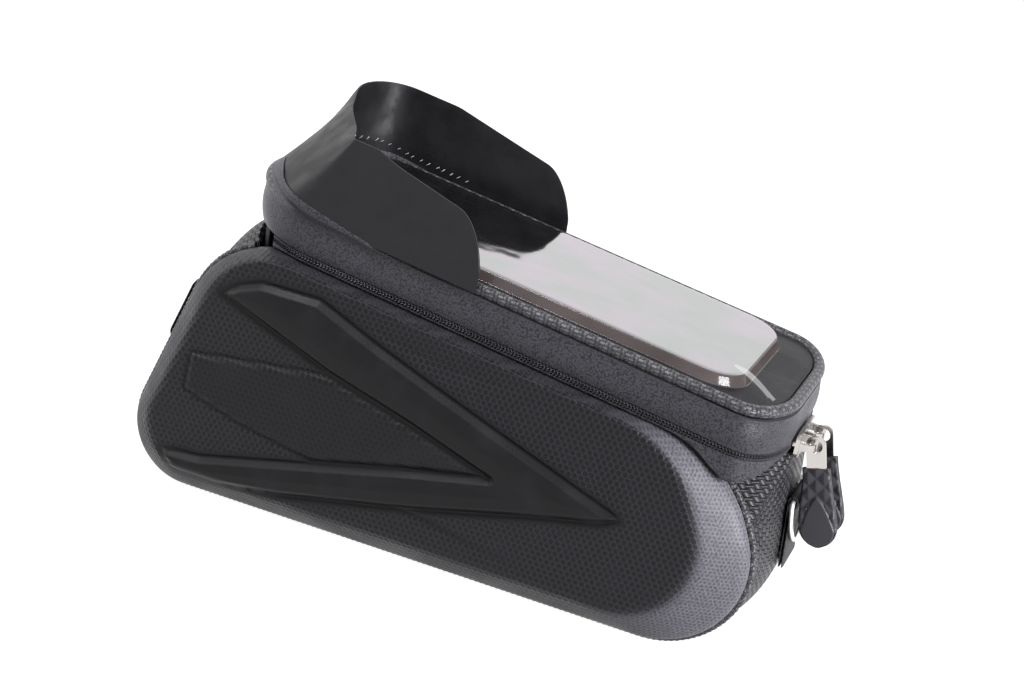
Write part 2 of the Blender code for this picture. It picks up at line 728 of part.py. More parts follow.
def collar_drop(i):
    """How far the collar hangs at a station. It is deep at the corners, where the shells fall away."""
    p = RIM_PLAN[i]
    across = abs(p.y) / LID_HALF
    front_share, rear_share = [
        smooth((across - start) / (1 - start) * steep)
        for start, steep in zip(COLLAR_DROP_ACROSS, COLLAR_DROP_STEEP)
    ]
    shares = ((1 + front_share) / 2, rear_share)
    drop = 0.0
    for depth, place_u, length, share in zip(COLLAR_DROP, COLLAR_DROP_PLACE, COLLAR_DROP_LENGTH, shares):
        drop += depth * share * math.exp(-((p.x - place_u) / length) ** 2)
    return drop


def collar_section(i):
    """The collar's section: its lower edge turns a little inwards."""
    low = LOWER_TAPE_TOP - COLLAR_DEPTH - collar_drop(i)
    inset = LID_WALL_BULGE
    return (
        (inset, LOWER_TAPE_TOP), (inset, low),
        (inset + COLLAR_THICKNESS, low), (inset + COLLAR_THICKNESS, LOWER_TAPE_TOP),
    )


def zip_pieces():
    """Both tapes, both rows of teeth and the collar that carries the lower row."""
    stations = zip_stations()
    upper_tape = box_section(TAPE_INSET, TAPE_THICKNESS, LID_WALL_BOTTOM, LID_WALL_BOTTOM + TAPE_UP)
    lower_tape = box_section(TAPE_INSET, TAPE_THICKNESS, LOWER_TAPE_TOP - TAPE_DOWN, LOWER_TAPE_TOP)
    upper_teeth = box_section(TEETH_INSET, TEETH_DEPTH, UPPER_TEETH_TOP - TEETH_HEIGHT, UPPER_TEETH_TOP)
    lower_teeth = box_section(TEETH_INSET, TEETH_DEPTH, LOWER_TEETH_TOP - TEETH_HEIGHT, LOWER_TEETH_TOP)
    rim_band("upper_zip_tape", upper_tape, TAPE, LID, stations)
    rim_band("lower_zip_tape", lower_tape, TAPE, None, stations)
    rim_band("upper_zip_teeth", upper_teeth, TEETH, LID, stations)
    rim_band("lower_zip_teeth", lower_teeth, TEETH, None, stations)
    rim_band("body_collar", collar_section, COATED, None)


def lid_hinge_strip():
    """The fabric inside the front end that the lid turns on."""
    stations = [i % len(RIM_PLAN) for i in range(-3, 4)]
    top = LID_WALL_BOTTOM - GAP
    section = box_section(LINING_INSET, TAPE_THICKNESS, top - HINGE_STRIP_HEIGHT, top)
    return rim_band("lid_hinge_strip", section, TAPE, None, stations)


# Sliders and pulls

SLIDER_Z = LID_Z + (LID_WALL_BOTTOM + LOWER_TAPE_TOP) / 2
SLIDER_X = max(GAP, rear_wall_x(SLIDER_Z)) + GAP
SLIDER_FOOT_X = -TEETH_INSET + GAP
SLIDER_FOOT_HEIGHT = LID_WALL_BOTTOM - LOWER_TAPE_TOP - 2 * GAP
BRIDGE_X = SLIDER_X + SLIDER_PLATE + BRIDGE_REACH


def zip_slider(name, y):
    """A slider: a foot against the teeth, a plate outside, and a bridge that the pull hangs on."""
    plate = rectangle(SLIDER_LENGTH, SLIDER_HEIGHT, SLIDER_HEIGHT / 4)
    foot = rectangle(SLIDER_FOOT_LENGTH, SLIDER_FOOT_HEIGHT, SLIDER_FOOT_HEIGHT / 4)
    stack = ((foot, SLIDER_FOOT_X), (foot, SLIDER_X), (plate, SLIDER_X), (plate, SLIDER_X + SLIDER_PLATE))
    loops = [[Vector((x, a, b)) for a, b in outline] for outline, x in stack]
    slider = place(skin(name, loops), STEEL)
    slider.location = (0, y, SLIDER_Z)
    bridge = skin(name + "_bridge", bridge_loops())
    joined(slider, bridge, "UNION")
    bridge.location = (0, y, SLIDER_Z)
    return slider


def bridge_loops():
    """The sections of the arched bar from one end of the slider to the other."""
    span = SLIDER_LENGTH / 2 - BRIDGE_THICKNESS
    root = SLIDER_X + SLIDER_PLATE / 2
    reach = BRIDGE_X - root
    loops = []
    steps = 2 * ARC_STEPS
    for i in range(steps + 1):
        angle = math.pi * i / steps
        a, x = -span * math.cos(angle), reach * math.sin(angle) ** 0.5
        out = Vector((math.sin(angle), -math.cos(angle)))
        out = out * BRIDGE_THICKNESS / 2
        near, far = (root + x - out.x, a - out.y), (root + x + out.x, a + out.y)
        half = BRIDGE_WIDTH / 2
        loops.append([
            Vector((near[0], near[1], -half)), Vector((far[0], far[1], -half)),
            Vector((far[0], far[1], half)), Vector((near[0], near[1], half)),
        ])
    return loops


def hang(obj, y, material):
    """Places a piece of a pull on its pivot, tilted as it hangs."""
    place(obj, material)
    obj.location = (BRIDGE_X, y, SLIDER_Z)
    obj.rotation_euler = (0, -PULL_TILT, 0)
    for modifier in obj.modifiers:
        modifier.object.location = obj.location
        modifier.object.rotation_euler = obj.rotation_euler
    return obj


def drill(name):
    """The cutter of the round eye in a metal tab, a cylinder along Y."""
    mesh = bpy.data.meshes.new(name)
    work = bmesh.new()
    bmesh.ops.create_cone(
        work, cap_ends=True, segments=3 * ARC_STEPS, radius1=PULL_HOLE, radius2=PULL_HOLE,
        depth=2 * PULL_THICKNESS, matrix=Matrix.Rotation(math.radians(90), 4, "X"),
    )
    work.to_mesh(mesh)
    work.free()
    return bpy.data.objects.new(name, mesh)


def pull_tab(name, y):
    """The metal tab with the round eye that turns on the bridge."""
    eye = PULL_HALF_WIDTH
    corners = ((-eye, -PULL_STEM), (eye, -PULL_STEM), (eye, eye), (-eye, eye))
    outline = rounded(corners, (GAP, GAP, eye * 0.8, eye * 0.8))
    loops = [[Vector((x, a, z)) for x, z in outline] for a in (-PULL_THICKNESS / 2, PULL_THICKNESS / 2)]
    tab = skin(name, loops)
    joined(tab, drill(name + "_eye"), "DIFFERENCE")
    return hang(tab, y, STEEL)


def grip_half_width(share):
    """Half the width of the rubber grip, from 0 at its top to 1 at its bottom."""
    width = GRIP_TOP_HALF + (GRIP_LOW_HALF - GRIP_TOP_HALF) * smooth(share / GRIP_WIDEST)
    tail = max(0.0, share - GRIP_TAIL) / (1 - GRIP_TAIL)
    return width * math.sqrt(max(1 - tail ** GRIP_TAIL_ROUND, GRIP_END_SHARE ** 2))


def rubber_grip(name, y):
    """The moulded grip on the lower end of a metal tab."""
    loops = []
    steps = 3 * ARC_STEPS
    for i in range(steps + 1):
        share = i / steps
        z = -GRIP_TOP - (GRIP_BOTTOM - GRIP_TOP) * share
        half = grip_half_width(share)
        deep = GRIP_THICKNESS / 2
        edge = min(GRIP_EDGE, half / 2)
        loops.append([
            Vector((-half, -deep + edge, z)), Vector((-half + edge, -deep, z)),
            Vector((half - edge, -deep, z)), Vector((half, -deep + edge, z)),
            Vector((half, deep - edge, z)), Vector((half - edge, deep, z)),
            Vector((-half + edge, deep, z)), Vector((-half, deep - edge, z)),
        ])
    grip = skin(name, loops)
    a, d = PULL_HALF_WIDTH + GAP, PULL_THICKNESS / 2 + GAP
    pocket = [
        [Vector((-a, -d, z)), Vector((a, -d, z)), Vector((a, d, z)), Vector((-a, d, z))]
        for z in (-GRIP_TOP + PULL_THICKNESS, -PULL_STEM - GAP)
    ]
    joined(grip, skin(name + "_pocket", pocket), "DIFFERENCE")
    return hang(grip, y, RUBBER)


def centre_bag():
    """Moves the whole bag so that the middle of its length lies over the origin."""
    bpy.context.view_layer.update()
    graph = bpy.context.evaluated_depsgraph_get()
    ends = []
    for obj in PARTS.objects:
        if obj.type == "EMPTY":
            continue
        shape = obj.evaluated_get(graph)
        ends += [(shape.matrix_world @ vertex.co).x for vertex in shape.to_mesh().vertices]
        shape.to_mesh_clear()
    BAG.location.x -= (min(ends) + max(ends)) / 2


for old in list(bpy.data.objects):
    bpy.data.objects.remove(old)
PARTS = new_collection("top_tube_phone_bag")
CUTTERS = new_collection("cutters", hidden=True)
BAG = new_empty("bag")
LID = new_empty("lid", (HINGE_X, 0, HINGE_Z), BAG)

MOULDED = new_material("moulded_fabric", (0.020, 0.020, 0.023), 0.55)
WOVEN = new_material("woven_trim", (0.025, 0.025, 0.028), 0.5)
COATED = new_material("coated_fabric", (0.030, 0.030, 0.034), 0.6)
PADDED = new_material("padded_lining", (0.022, 0.022, 0.024), 0.8)
BOARD = new_material("stiff_board", (0.03, 0.03, 0.03), 0.6)
WEBBING = new_material("webbing", (0.012, 0.012, 0.013), 0.75)
TAPE = new_material("zip_tape", (0.012, 0.012, 0.013), 0.7)
TEETH = new_material("zip_teeth", (0.015, 0.015, 0.016), 0.4)
FILM = new_material("clear_film", (0.8, 0.82, 0.85), 0.05, alpha=0.35)
VISOR = new_material("visor_sheet", (0.018, 0.018, 0.020), 0.35)
STEEL = new_material("plated_metal", (0.75, 0.74, 0.73), 0.15, metallic=1.0)
RUBBER = new_material("grip_rubber", (0.035, 0.034, 0.040), 0.6)

for end, sign in (("left", -1), ("right", 1)):
    side_shell("side_shell_" + end, sign)
    seam_piping("seam_piping_" + end, sign)
    slider_y = SLIDER_MIDDLE + sign * SLIDER_SPACING / 2
    zip_slider("zip_slider_" + end, slider_y)
    pull_tab("pull_tab_" + end, slider_y)
    rubber_grip("rubber_grip_" + end, slider_y)
gusset()
base_pieces()
front_strap_loop()
rear_tab()
d_ring()
lid_wall()
lid_rim_piping()
window_frame()
window_film()
phone_panel()
visor()
zip_pieces()
lid_hinge_strip()
centre_bag()
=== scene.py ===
"""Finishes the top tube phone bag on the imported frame: moulded shells, woven trim, clear window, visor and
metal pulls. Pieces are drawn with X = 0 at the rear end of the lid, and SHIFT moves them into the frame."""

import math

import bmesh
import bpy
import numpy as np
from mathutils import Matrix, Vector

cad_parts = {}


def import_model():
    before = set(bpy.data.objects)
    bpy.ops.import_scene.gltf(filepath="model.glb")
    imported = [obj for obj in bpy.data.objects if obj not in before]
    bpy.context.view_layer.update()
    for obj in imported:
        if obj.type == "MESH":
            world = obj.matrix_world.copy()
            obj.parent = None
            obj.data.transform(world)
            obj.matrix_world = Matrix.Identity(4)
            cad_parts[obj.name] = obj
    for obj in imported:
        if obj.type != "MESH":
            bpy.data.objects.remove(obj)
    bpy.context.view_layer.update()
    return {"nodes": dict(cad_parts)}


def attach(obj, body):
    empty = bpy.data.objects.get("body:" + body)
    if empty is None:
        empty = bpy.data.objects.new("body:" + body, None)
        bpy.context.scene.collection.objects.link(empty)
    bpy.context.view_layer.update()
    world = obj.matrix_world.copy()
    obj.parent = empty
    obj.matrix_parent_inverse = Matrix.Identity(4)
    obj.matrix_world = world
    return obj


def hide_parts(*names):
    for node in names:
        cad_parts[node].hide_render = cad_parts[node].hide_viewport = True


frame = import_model()

SHIFT = 0.0955972  # from the drawing's X to the frame's

# General sizes, in metres
GAP = 0.0003
ARC_STEPS = 24
BOX_ROLL = 0.0002  # how much the corners of thin strips are cut
MERGE_DISTANCE = 2e-6
SHARP_ANGLE = math.radians(50)

# Side profile of the sewn seam
SEAM_Z = 0.0022
SEAM_CORNERS = ((-0.1848, 0.0931), (-0.2164, SEAM_Z), (0.0153, SEAM_Z), (-0.0146, 0.0678))
SEAM_RADII = (0.031, 0.020, 0.029, 0.045)
SEAM_EDGES = (80, 260, 60, 180)  # steps along the four straight edges
SEAM_START = ARC_STEPS * 3 // 8
SEAM_END = ARC_STEPS * 4 // 8

# Side shells
SEAM_HALF = 0.0330
PIPING_RADIUS = 0.0013
PIPING_STEP = 0.0004
PIPING_TOOTH_PITCH = 0.0018
PIPING_TOOTH = 0.00022
SHELL_SEAM_Y = SEAM_HALF + PIPING_RADIUS + GAP
SHELL_DEPTH = 0.0109
SHELL_WALL = 0.0025
BORDERS = (0.0090, 0.0110, 0.0155, 0.0016)
FACE_RADII = (0.022, 0.014, 0.024, 0.030)
BORDER_CURVE = (
    (0.0, 0.0), (0.01, 0.12), (0.04, 0.23), (0.10, 0.32), (0.20, 0.43), (0.30, 0.53), (0.40, 0.63),
    (0.50, 0.72), (0.60, 0.81), (0.70, 0.89), (0.80, 0.95), (0.90, 0.985), (1.0, 1.0),
)
FACE_MIDDLE = ((-0.160, 0.046), (-0.045, 0.036))
FACE_RINGS = 96
CELL_PITCH = 0.0020
LACE_PITCH = 0.0014

# The slope's pale colour is a painted highlight laid over a lace of threads.
SLOPE_END = 0.98  # share of the depth where the slope's painted highlight ends
SLOPE_FADE = 0.12
SLOPE_FRONT_SHARE = 0.14  # how strong the slope's painted highlight is at the front, next to the rear
SLOPE_FRONT = -0.060
SLOPE_LENGTH = 0.050

# Relief of the moulded face, in X and Z
BAR_HEIGHT = 0.0016
WEDGE_HEIGHT = 0.0008
HOLLOW_DEPTH = 0.0005
RELIEF_EDGE = 0.0021
BAR_CROWN = 0.0009
BAR_CROWN_EDGE = 0.0080
CREASE_DEPTH = 0.00050
CREASE_WIDTH = 0.0006
BAR_OUTLINE = (
    (-0.1790, 0.0740), (-0.1730, 0.0780), (-0.1660, 0.0805), (-0.1460, 0.0805), (-0.1260, 0.0720),
    (-0.1060, 0.0644), (-0.0744, 0.0530), (-0.0407, 0.0410), (-0.0460, 0.0384), (-0.0705, 0.0326),
    (-0.1090, 0.0226), (-0.1490, 0.0140), (-0.1720, 0.0106), (-0.1890, 0.0106), (-0.1935, 0.0166),
    (-0.1790, 0.0177), (-0.1410, 0.0270), (-0.1110, 0.0346), (-0.0820, 0.0412), (-0.1100, 0.0506),
    (-0.1396, 0.0590),
)
WEDGE_OUTLINE = (
    (-0.1870, 0.0516), (-0.1630, 0.0548), (-0.1400, 0.0576), (-0.1095, 0.0492), (-0.0838, 0.0412),
    (-0.1113, 0.0357), (-0.1410, 0.0284), (-0.1665, 0.0328), (-0.1880, 0.0390),
)
HOLLOW_OUTLINE = (
    (-0.1460, 0.0800), (-0.1060, 0.0640), (-0.0710, 0.0705), (-0.0920, 0.0756), (-0.1120, 0.0790),
)
LOW_LINE = ((-0.1090, 0.0226), (-0.0880, 0.0187), (-0.0640, 0.0150))

# Gusset
GUSSET_WALL = 0.0016
GUSSET_Z = 0.0015
GUSSET_FRONT_TOP = (-0.1850, 0.0925)
GUSSET_FRONT_LEAN = 0.345
GUSSET_REAR_TOP = (0.0003, 0.0665)
GUSSET_REAR_LEAN = 0.075
GUSSET_RADII = (0.008, 0.020, 0.028, 0.004)
GUSSET_ROUND = 3.0
GUSSET_HALF = SEAM_HALF - PIPING_RADIUS - GAP

# Lid
LID_SLOPE = math.radians(8.47)
LID_Z = 0.0800
LID_LENGTH = 0.1860
LID_HALF = 0.0410
LID_REAR_CORNER = (0.015, 0.027)
LID_FRONT_CORNER = (0.030, 0.034)
LID_WALL = 0.0014
LID_WALL_TOP = -0.0006
LID_WALL_BOTTOM = -0.0112
LID_WALL_BULGE = 0.0008
RIM_RADIUS = 0.0019
RIM_STEP = 0.0005
RIM_W = LID_WALL_TOP + GAP + RIM_RADIUS
FRAME_TOP = 0.0010
FRAME_THICKNESS = 0.0012
FRAME_WIDTH = 0.0034
FILM_THICKNESS = 0.0008
FILM_HEIGHT = 0.0036
FILM_FLANGE_SIDE = 0.0036
FILM_FLANGE_END = 0.0125
FILM_CORNER = 0.013
FILM_BASE = FRAME_TOP + GAP
FILM_INSET = 2 * RIM_RADIUS + GAP
FILM_ROUND = 0.0016
FILM_MIDDLE = ((-0.150, 0.0), (-0.036, 0.0))
FILM_RINGS = 24
PANEL_THICKNESS = 0.0018
PANEL_DROP = 0.0095
PANEL_REAR = 0.030
PANEL_CORNER = 0.004
PANEL_RIM = 0.995  # share of the plan where its edge starts to roll
CHANNEL_DEPTH = 0.0003
CHANNEL_Y = 0.012
CHANNEL_WIDTH = 0.0008
LINING_INSET = LID_WALL_BULGE + LID_WALL + GAP
FOLD_START = -0.115  # where the band starts to climb the visor
FOLD_LENGTH = 0.060
FOLD_HEIGHT = 0.0080
FOLD_INNER_Y = 0.006  # the fold dies out towards the middle of the front
FOLD_SPREAD = 0.016
LIP_BULGE = 0.0010
LIP_EASE = 0.0020

# Zip
TAPE_THICKNESS = 0.0006
TEETH_HEIGHT = 0.0007
TEETH_DEPTH = 0.0018
TEETH_PITCH = 0.0011
TEETH_OUT = 0.0004  # how far the crests of the ribs lie inside the rim
TEETH_RELIEF = 0.0009
TEETH_SLANT = 0.8
TAPE_UP = 0.0058
TAPE_DOWN = 0.0010
ZIP_FRONT = -0.172
HINGE_STRIP_HEIGHT = 0.010
HINGE_STATIONS = 13  # how many points of the rim it covers to each side of the middle
COLLAR_THICKNESS = 0.0012
COLLAR_ROLL = 0.0003
COLLAR_STEPS = 8
COLLAR_DEPTH = 0.0006
COLLAR_DROP = (0.0034, 0.0072)
COLLAR_DROP_PLACE = (-0.180, -0.0125)
COLLAR_DROP_LENGTH = (0.0090, 0.0105)
TEETH_INSET = LINING_INSET - TEETH_DEPTH + TAPE_THICKNESS
UPPER_TEETH_TOP = LID_WALL_BOTTOM - GAP
LOWER_TEETH_TOP = UPPER_TEETH_TOP - TEETH_HEIGHT - GAP
LOWER_TAPE_TOP = LOWER_TEETH_TOP - TEETH_HEIGHT - GAP

# Visor
VISOR_THICKNESS = 0.0008
VISOR_REAR = -0.0995
VISOR_FRONT_HEIGHT = 0.0292
VISOR_REAR_HEIGHT = 0.0210
VISOR_FRONT_LEAN = 0.0170
VISOR_SIDE_LEAN = 0.0030
VISOR_SKEW = 0.38
VISOR_BEND = 0.3
VISOR_BEND_START = -0.128
VISOR_BEND_LENGTH = 0.028
VISOR_RISE = 0.045
VISOR_END_SHARE = 0.06
VISOR_END_ROUND = 0.0110
VISOR_SIDE_ANGLE = math.radians(-12)
VISOR_FRONT_ANGLE = math.radians(110)
VISOR_STEPS = 44
STITCH_REAR = -0.135
STITCH_SHARE = 0.16  # how far up the visor the stitches sit
STITCH_HALF = 0.00022
STITCH_LENGTH = 0.0013
STITCH_PITCH = 0.0030
STITCH_AROUND = 8
STITCH_SEED = 7
VISOR_REACH = RIM_RADIUS + GAP + VISOR_THICKNESS

# Base, strap loop, tab and ring
KEEPER_THICKNESS = 0.0012
KEEPER_LENGTH = 0.026
KEEPER_HALF_WIDTH = 0.020
KEEPER_PLACES = (-0.158, -0.052)
LOOP_HALF_WIDTH = 0.018
LOOP_THICKNESS = 0.0015
LOOP_TOP_Z = 0.069
LOOP_LENGTH = 0.036
LOOP_STAND = 0.0070
TAB_HALF_WIDTH = 0.0100
TAB_THICKNESS = 0.0007
TAB_BOTTOM_Z = 0.0265
TAB_BACK_STOP = 0.004  # how far below the ring's bar the back layer ends
RING_WIRE = 0.00075
RING_BAR_Z = 0.0485
RING_HEIGHT = 0.0150
RING_TILT = math.radians(9)
RING_CORNER = 0.0022
RING_HALF_WIDTH = TAB_HALF_WIDTH + RING_WIRE + 2 * GAP
FOLD_ROOM = 0.0003

# Pulls
SLIDER_SPACING = 0.0120
SLIDER_MIDDLE = -0.0025
SLIDER_Z = LID_Z + (LID_WALL_BOTTOM + LOWER_TAPE_TOP) / 2
BRIDGE_X = 0.0061
PULL_TILT = math.radians(14.5)
GRIP_TOP = 0.0070
GRIP_BOTTOM = 0.0322
GRIP_THICKNESS = 0.0032
GRIP_TOP_HALF = 0.0043
GRIP_LOW_HALF = 0.0060
GRIP_FACET = 0.0050
GRIP_PAD_TOP = 0.36
GRIP_PAD_EDGE = 0.0004
GRIP_RELIEF = 0.0006
GRIP_TAIL = 0.72  # share of its length where it starts to round off
GRIP_ROLL = 0.82  # share of its half width where its edges roll

# Looks that are shared
WEAVE_FAR = 4000.0  # keeps the counts of threads above zero
BLACK_THREAD = (0.008, 0.008, 0.009)

# Floor, world and lights
FLOOR_HALF = 6.0
FLOOR_GLOW = (0.05, 1.55)  # for the rays that light the bag and for those that show the background
FLOOR_GLOW_SHARE = 0.6
WORLD_DIM = 0.30
LIGHT_AIM = (0.0, 0.0, 0.05)
LIGHTS = (
    ("key", (1.05, -0.42, 0.32), 0.55, 0.45, 24.0, (0.97, 0.97, 1.0)),
    ("back", (-0.20, 1.1, 0.55), 1.8, 0.8, 1.5, (1.0, 0.97, 1.0)),
    ("top", (-0.28, -0.34, 0.95), 0.5, 0.5, 9.0, (0.96, 0.97, 1.0)),
    ("left", (-1.0, -0.15, 0.40), 0.5, 0.7, 4.0, (1.0, 1.0, 1.0)),
)

# Camera
CAMERA_LENS = 65.04
CAMERA_PLACE = (0.163235, -0.538761, 0.262037)
CAMERA_RIGHT = Vector((0.921657, 0.345324, 0.176916))
CAMERA_BACK = Vector((0.276851, -0.904747, 0.323706))


# Camera, set from the photograph's view

camera_data = bpy.data.cameras.new("camera")
camera_data.sensor_width = 36.0
camera_data.lens = CAMERA_LENS
camera_data.clip_start = 0.01
camera_data.clip_end = 20.0
camera = bpy.data.objects.new("camera", camera_data)
bpy.context.scene.collection.objects.link(camera)
camera_axes = Matrix((CAMERA_RIGHT, CAMERA_BACK.cross(CAMERA_RIGHT), CAMERA_BACK)).transposed()
camera.matrix_world = Matrix.Translation(CAMERA_PLACE) @ camera_axes.to_4x4()
bpy.context.scene.camera = camera
bpy.context.scene.view_settings.view_transform = "Standard"


# Shaders

class Shader:
    """A Principled material put together from nodes. Values are numbers or other nodes' sockets."""

    def __init__(self, name, roughness, metallic=0.0, specular=0.5):
        self.material = bpy.data.materials.new(name)
        self.material.use_nodes = True
        self.tree = self.material.node_tree
        self.principled = self.tree.nodes["Principled BSDF"]
        self.principled.inputs["Roughness"].default_value = roughness
        self.principled.inputs["Metallic"].default_value = metallic
        self.principled.inputs["Specular IOR Level"].default_value = specular

    def node(self, kind, **settings):
        """A new node with these settings."""
        node = self.tree.nodes.new(kind)
        for key, value in settings.items():
            setattr(node, key, value)
        return node

    def feed(self, socket, value):
        """Links a socket, or sets its own value."""
        if isinstance(value, bpy.types.NodeSocket):
            self.tree.links.new(value, socket)
        else:
            socket.default_value = value

    def math(self, operation, *values):
        """The result of a Math node."""
        node = self.node("ShaderNodeMath", operation=operation)
        for socket, value in zip(node.inputs, values):
            self.feed(socket, value)
        return node.outputs[0]

    def vector(self, operation, *values):
        """The result of a Vector Math node, a number for the dot product."""
        node = self.node("ShaderNodeVectorMath", operation=operation)
        for socket, value in zip(node.inputs, values):
            self.feed(socket, value)
        return node.outputs["Value" if operation == "DOT_PRODUCT" else "Vector"]

    def coordinates(self, kind):
        """Object coordinates or the mesh's UV, both in metres."""
        return self.node("ShaderNodeTexCoord").outputs[kind]

    def split(self, vector):
        """The three numbers of a vector."""
        node = self.node("ShaderNodeSeparateXYZ")
        self.feed(node.inputs[0], vector)
        return node.outputs

    def combine(self, *values):
        """A vector from up to three numbers."""
        node = self.node("ShaderNodeCombineXYZ")
        for socket, value in zip(node.inputs, values):
            self.feed(socket, value)
        return node.outputs[0]

    def ramp(self, value, low, high, to_low=0.0, to_high=1.0):
        """A number taken smoothly from one range to another."""
        node = self.node("ShaderNodeMapRange", interpolation_type="SMOOTHSTEP")
        for key, number in (("From Min", low), ("From Max", high), ("To Min", to_low), ("To Max", to_high)):
            node.inputs[key].default_value = number
        self.feed(node.inputs["Value"], value)
        return node.outputs[0]

    def noise(self, coordinates, size, detail=2.0):
        """A noise with features of this size in metres."""
        node = self.node("ShaderNodeTexNoise")
        self.feed(node.inputs["Vector"], coordinates)
        node.inputs["Scale"].default_value = 1 / size
        node.inputs["Detail"].default_value = detail
        return node.outputs[0]

    def pebbles(self, coordinates, size):
        """Small rounded cells of this size, 0 in the middle of each."""
        node = self.node("ShaderNodeTexVoronoi", feature="F1")
        self.feed(node.inputs["Vector"], coordinates)
        node.inputs["Scale"].default_value = 1 / size
        return node.outputs["Distance"]

    def mix(self, share, first, second):
        """A colour between two."""
        node = self.node("ShaderNodeMix", data_type="RGBA")
        self.feed(node.inputs["Factor"], share)
        self.feed(node.inputs[6], (*first, 1.0) if isinstance(first, tuple) else first)
        self.feed(node.inputs[7], (*second, 1.0) if isinstance(second, tuple) else second)
        return node.outputs[2]

    def hexagons(self, x, y, pitch):
        """0 in the middle of each cell of a honeycomb and 0.5 on its walls."""
        cell = (1.0, math.sqrt(3), 1.0)
        half = (0.5, math.sqrt(3) / 2, 0.5)
        far = (500.0, 500 * math.sqrt(3), 0.0)
        scaled = self.combine(self.math("DIVIDE", x, pitch), self.math("DIVIDE", y, pitch))
        scaled = self.vector("ADD", scaled, far)
        centred = []
        for start in (scaled, self.vector("ADD", scaled, half)):
            place = self.vector("SUBTRACT", self.vector("MODULO", start, cell), half)
            place = self.vector("MULTIPLY", place, (1.0, 1.0, 0.0))
            centred.append((place, self.vector("DOT_PRODUCT", place, place)))
        (first, first_square), (second, second_square) = centred
        nearest = self.node("ShaderNodeMix", data_type="VECTOR")
        self.feed(nearest.inputs["Factor"], self.math("LESS_THAN", first_square, second_square))
        self.feed(nearest.inputs[4], second)
        self.feed(nearest.inputs[5], first)
        folded = self.vector("ABSOLUTE", nearest.outputs[1])
        slanted = self.vector("DOT_PRODUCT", folded, (0.5, math.sqrt(3) / 2, 0.0))
        return self.math("MAXIMUM", self.split(folded)[0], slanted)

    def weave(self, pitches, repeat):
        """(height, warp) of a weave on the mesh's UV, its pitches given across and along. It is plain
        where it repeats over 2, and a twill with one warp in three on top over 3, or two in four over 4."""
        across, along = (
            self.math("ADD", self.math("DIVIDE", value, pitch), WEAVE_FAR)
            for value, pitch in zip(self.split(self.coordinates("UV")), pitches)
        )
        step = self.math("ADD", self.math("FLOOR", across), self.math("FLOOR", along))
        warp = self.math("LESS_THAN", self.math("MODULO", step, float(repeat)), repeat / 2 - 0.5)
        waves = [
            self.math("SINE", self.math("MULTIPLY", self.math("FRACT", value), math.pi))
            for value in (across, along)
        ]
        high = self.math("MULTIPLY", waves[0], warp)
        low = self.math("MULTIPLY", waves[1], self.math("SUBTRACT", 1.0, warp))
        return self.math("ADD", high, low), warp

    def bump(self, height, depth, under=None):
        """Adds a height to the surface, deep by this many metres where the height is 1."""
        node = self.node("ShaderNodeBump")
        node.inputs["Strength"].default_value = 1.0
        node.inputs["Distance"].default_value = depth
        self.feed(node.inputs["Height"], height)
        if under is not None:
            self.feed(node.inputs["Normal"], under)
        self.feed(self.principled.inputs["Normal"], node.outputs[0])
        return node.outputs[0]

    def set(self, **values):
        """Sets or links inputs of the Principled shader, by their names with _ for a space."""
        for key, value in values.items():
            if isinstance(value, tuple):
                value = (*value, 1.0)
            self.feed(self.principled.inputs[key.replace("_", " ")], value)


def shell_shader():
    """Moulded fabric: cells in the low parts, smooth grain on the bars, and a lace of threads on the slopes
    with a painted highlight that is strongest towards the rear. The creases are painted dark, a painted
    shade.
    """
    shader = Shader("moulded_fabric", 0.40, specular=0.18)
    place = shader.coordinates("Object")
    x, y, z = shader.split(place)
    mask, slope_highlight, crease_and_shade = (
        shader.node("ShaderNodeAttribute", attribute_name=name).outputs["Fac"]
        for name in ("cells", "slope_highlight", "crease_and_shade")
    )
    walls = shader.ramp(shader.hexagons(x, z, CELL_PITCH), 0.20, 0.5)
    cells = shader.math("MULTIPLY", walls, mask)
    threads = shader.noise(place, 0.0005, 3.0)
    cloud = shader.noise(place, 0.012, 2.0)
    tint = shader.mix(cells, (0.0030, 0.0029, 0.0036), (0.0165, 0.0160, 0.0195))
    worn = shader.mix(shader.ramp(cloud, 0.45, 0.75, 0.0, 0.4), tint, (0.014, 0.0135, 0.017))
    run = shader.math("MULTIPLY", shader.math("SUBTRACT", shader.math("ABSOLUTE", y), x), 0.75)
    lace = shader.ramp(shader.hexagons(run, z, LACE_PITCH), 0.15, 0.45, 0.55, 1.0)
    laced = shader.math("MULTIPLY", lace, shader.ramp(threads, 0.3, 0.6, 0.5, 1.0))
    # Painted highlight: the slope mask paints the lace on the border pale grey.
    pale = shader.mix(shader.math("MULTIPLY", slope_highlight, laced), worn, (0.170, 0.166, 0.190))
    # Painted shade: the crease mask darkens the colour nearly to black.
    shader.set(
        Base_Color=shader.mix(crease_and_shade, pale, (0.0015, 0.0015, 0.0018)),
        Roughness=shader.ramp(cloud, 0.3, 0.7, 0.38, 0.50),
    )
    under = shader.bump(threads, 0.00008)
    low_cells = shader.math("MULTIPLY", cells, shader.ramp(slope_highlight, 0.0, 0.6, 1.0, 0.25))
    shader.bump(low_cells, 0.00022, under)
    return shader.material


def woven_shader(name, pitches, repeat, depth, dark, light, roughness):
    """Woven trim, its warp a little lighter than its weft."""
    shader = Shader(name, roughness, specular=0.3)
    height, warp = shader.weave(pitches, repeat)
    shade = shader.math("MULTIPLY", shader.math("ADD", shader.math("MULTIPLY", warp, 0.6), 0.4), height)
    cloud = shader.noise(shader.coordinates("Object"), 0.004, 2.0)
    shader.set(Base_Color=shader.mix(shader.math("MULTIPLY", shade, cloud), dark, light))
    shader.bump(height, depth)
    return shader.material


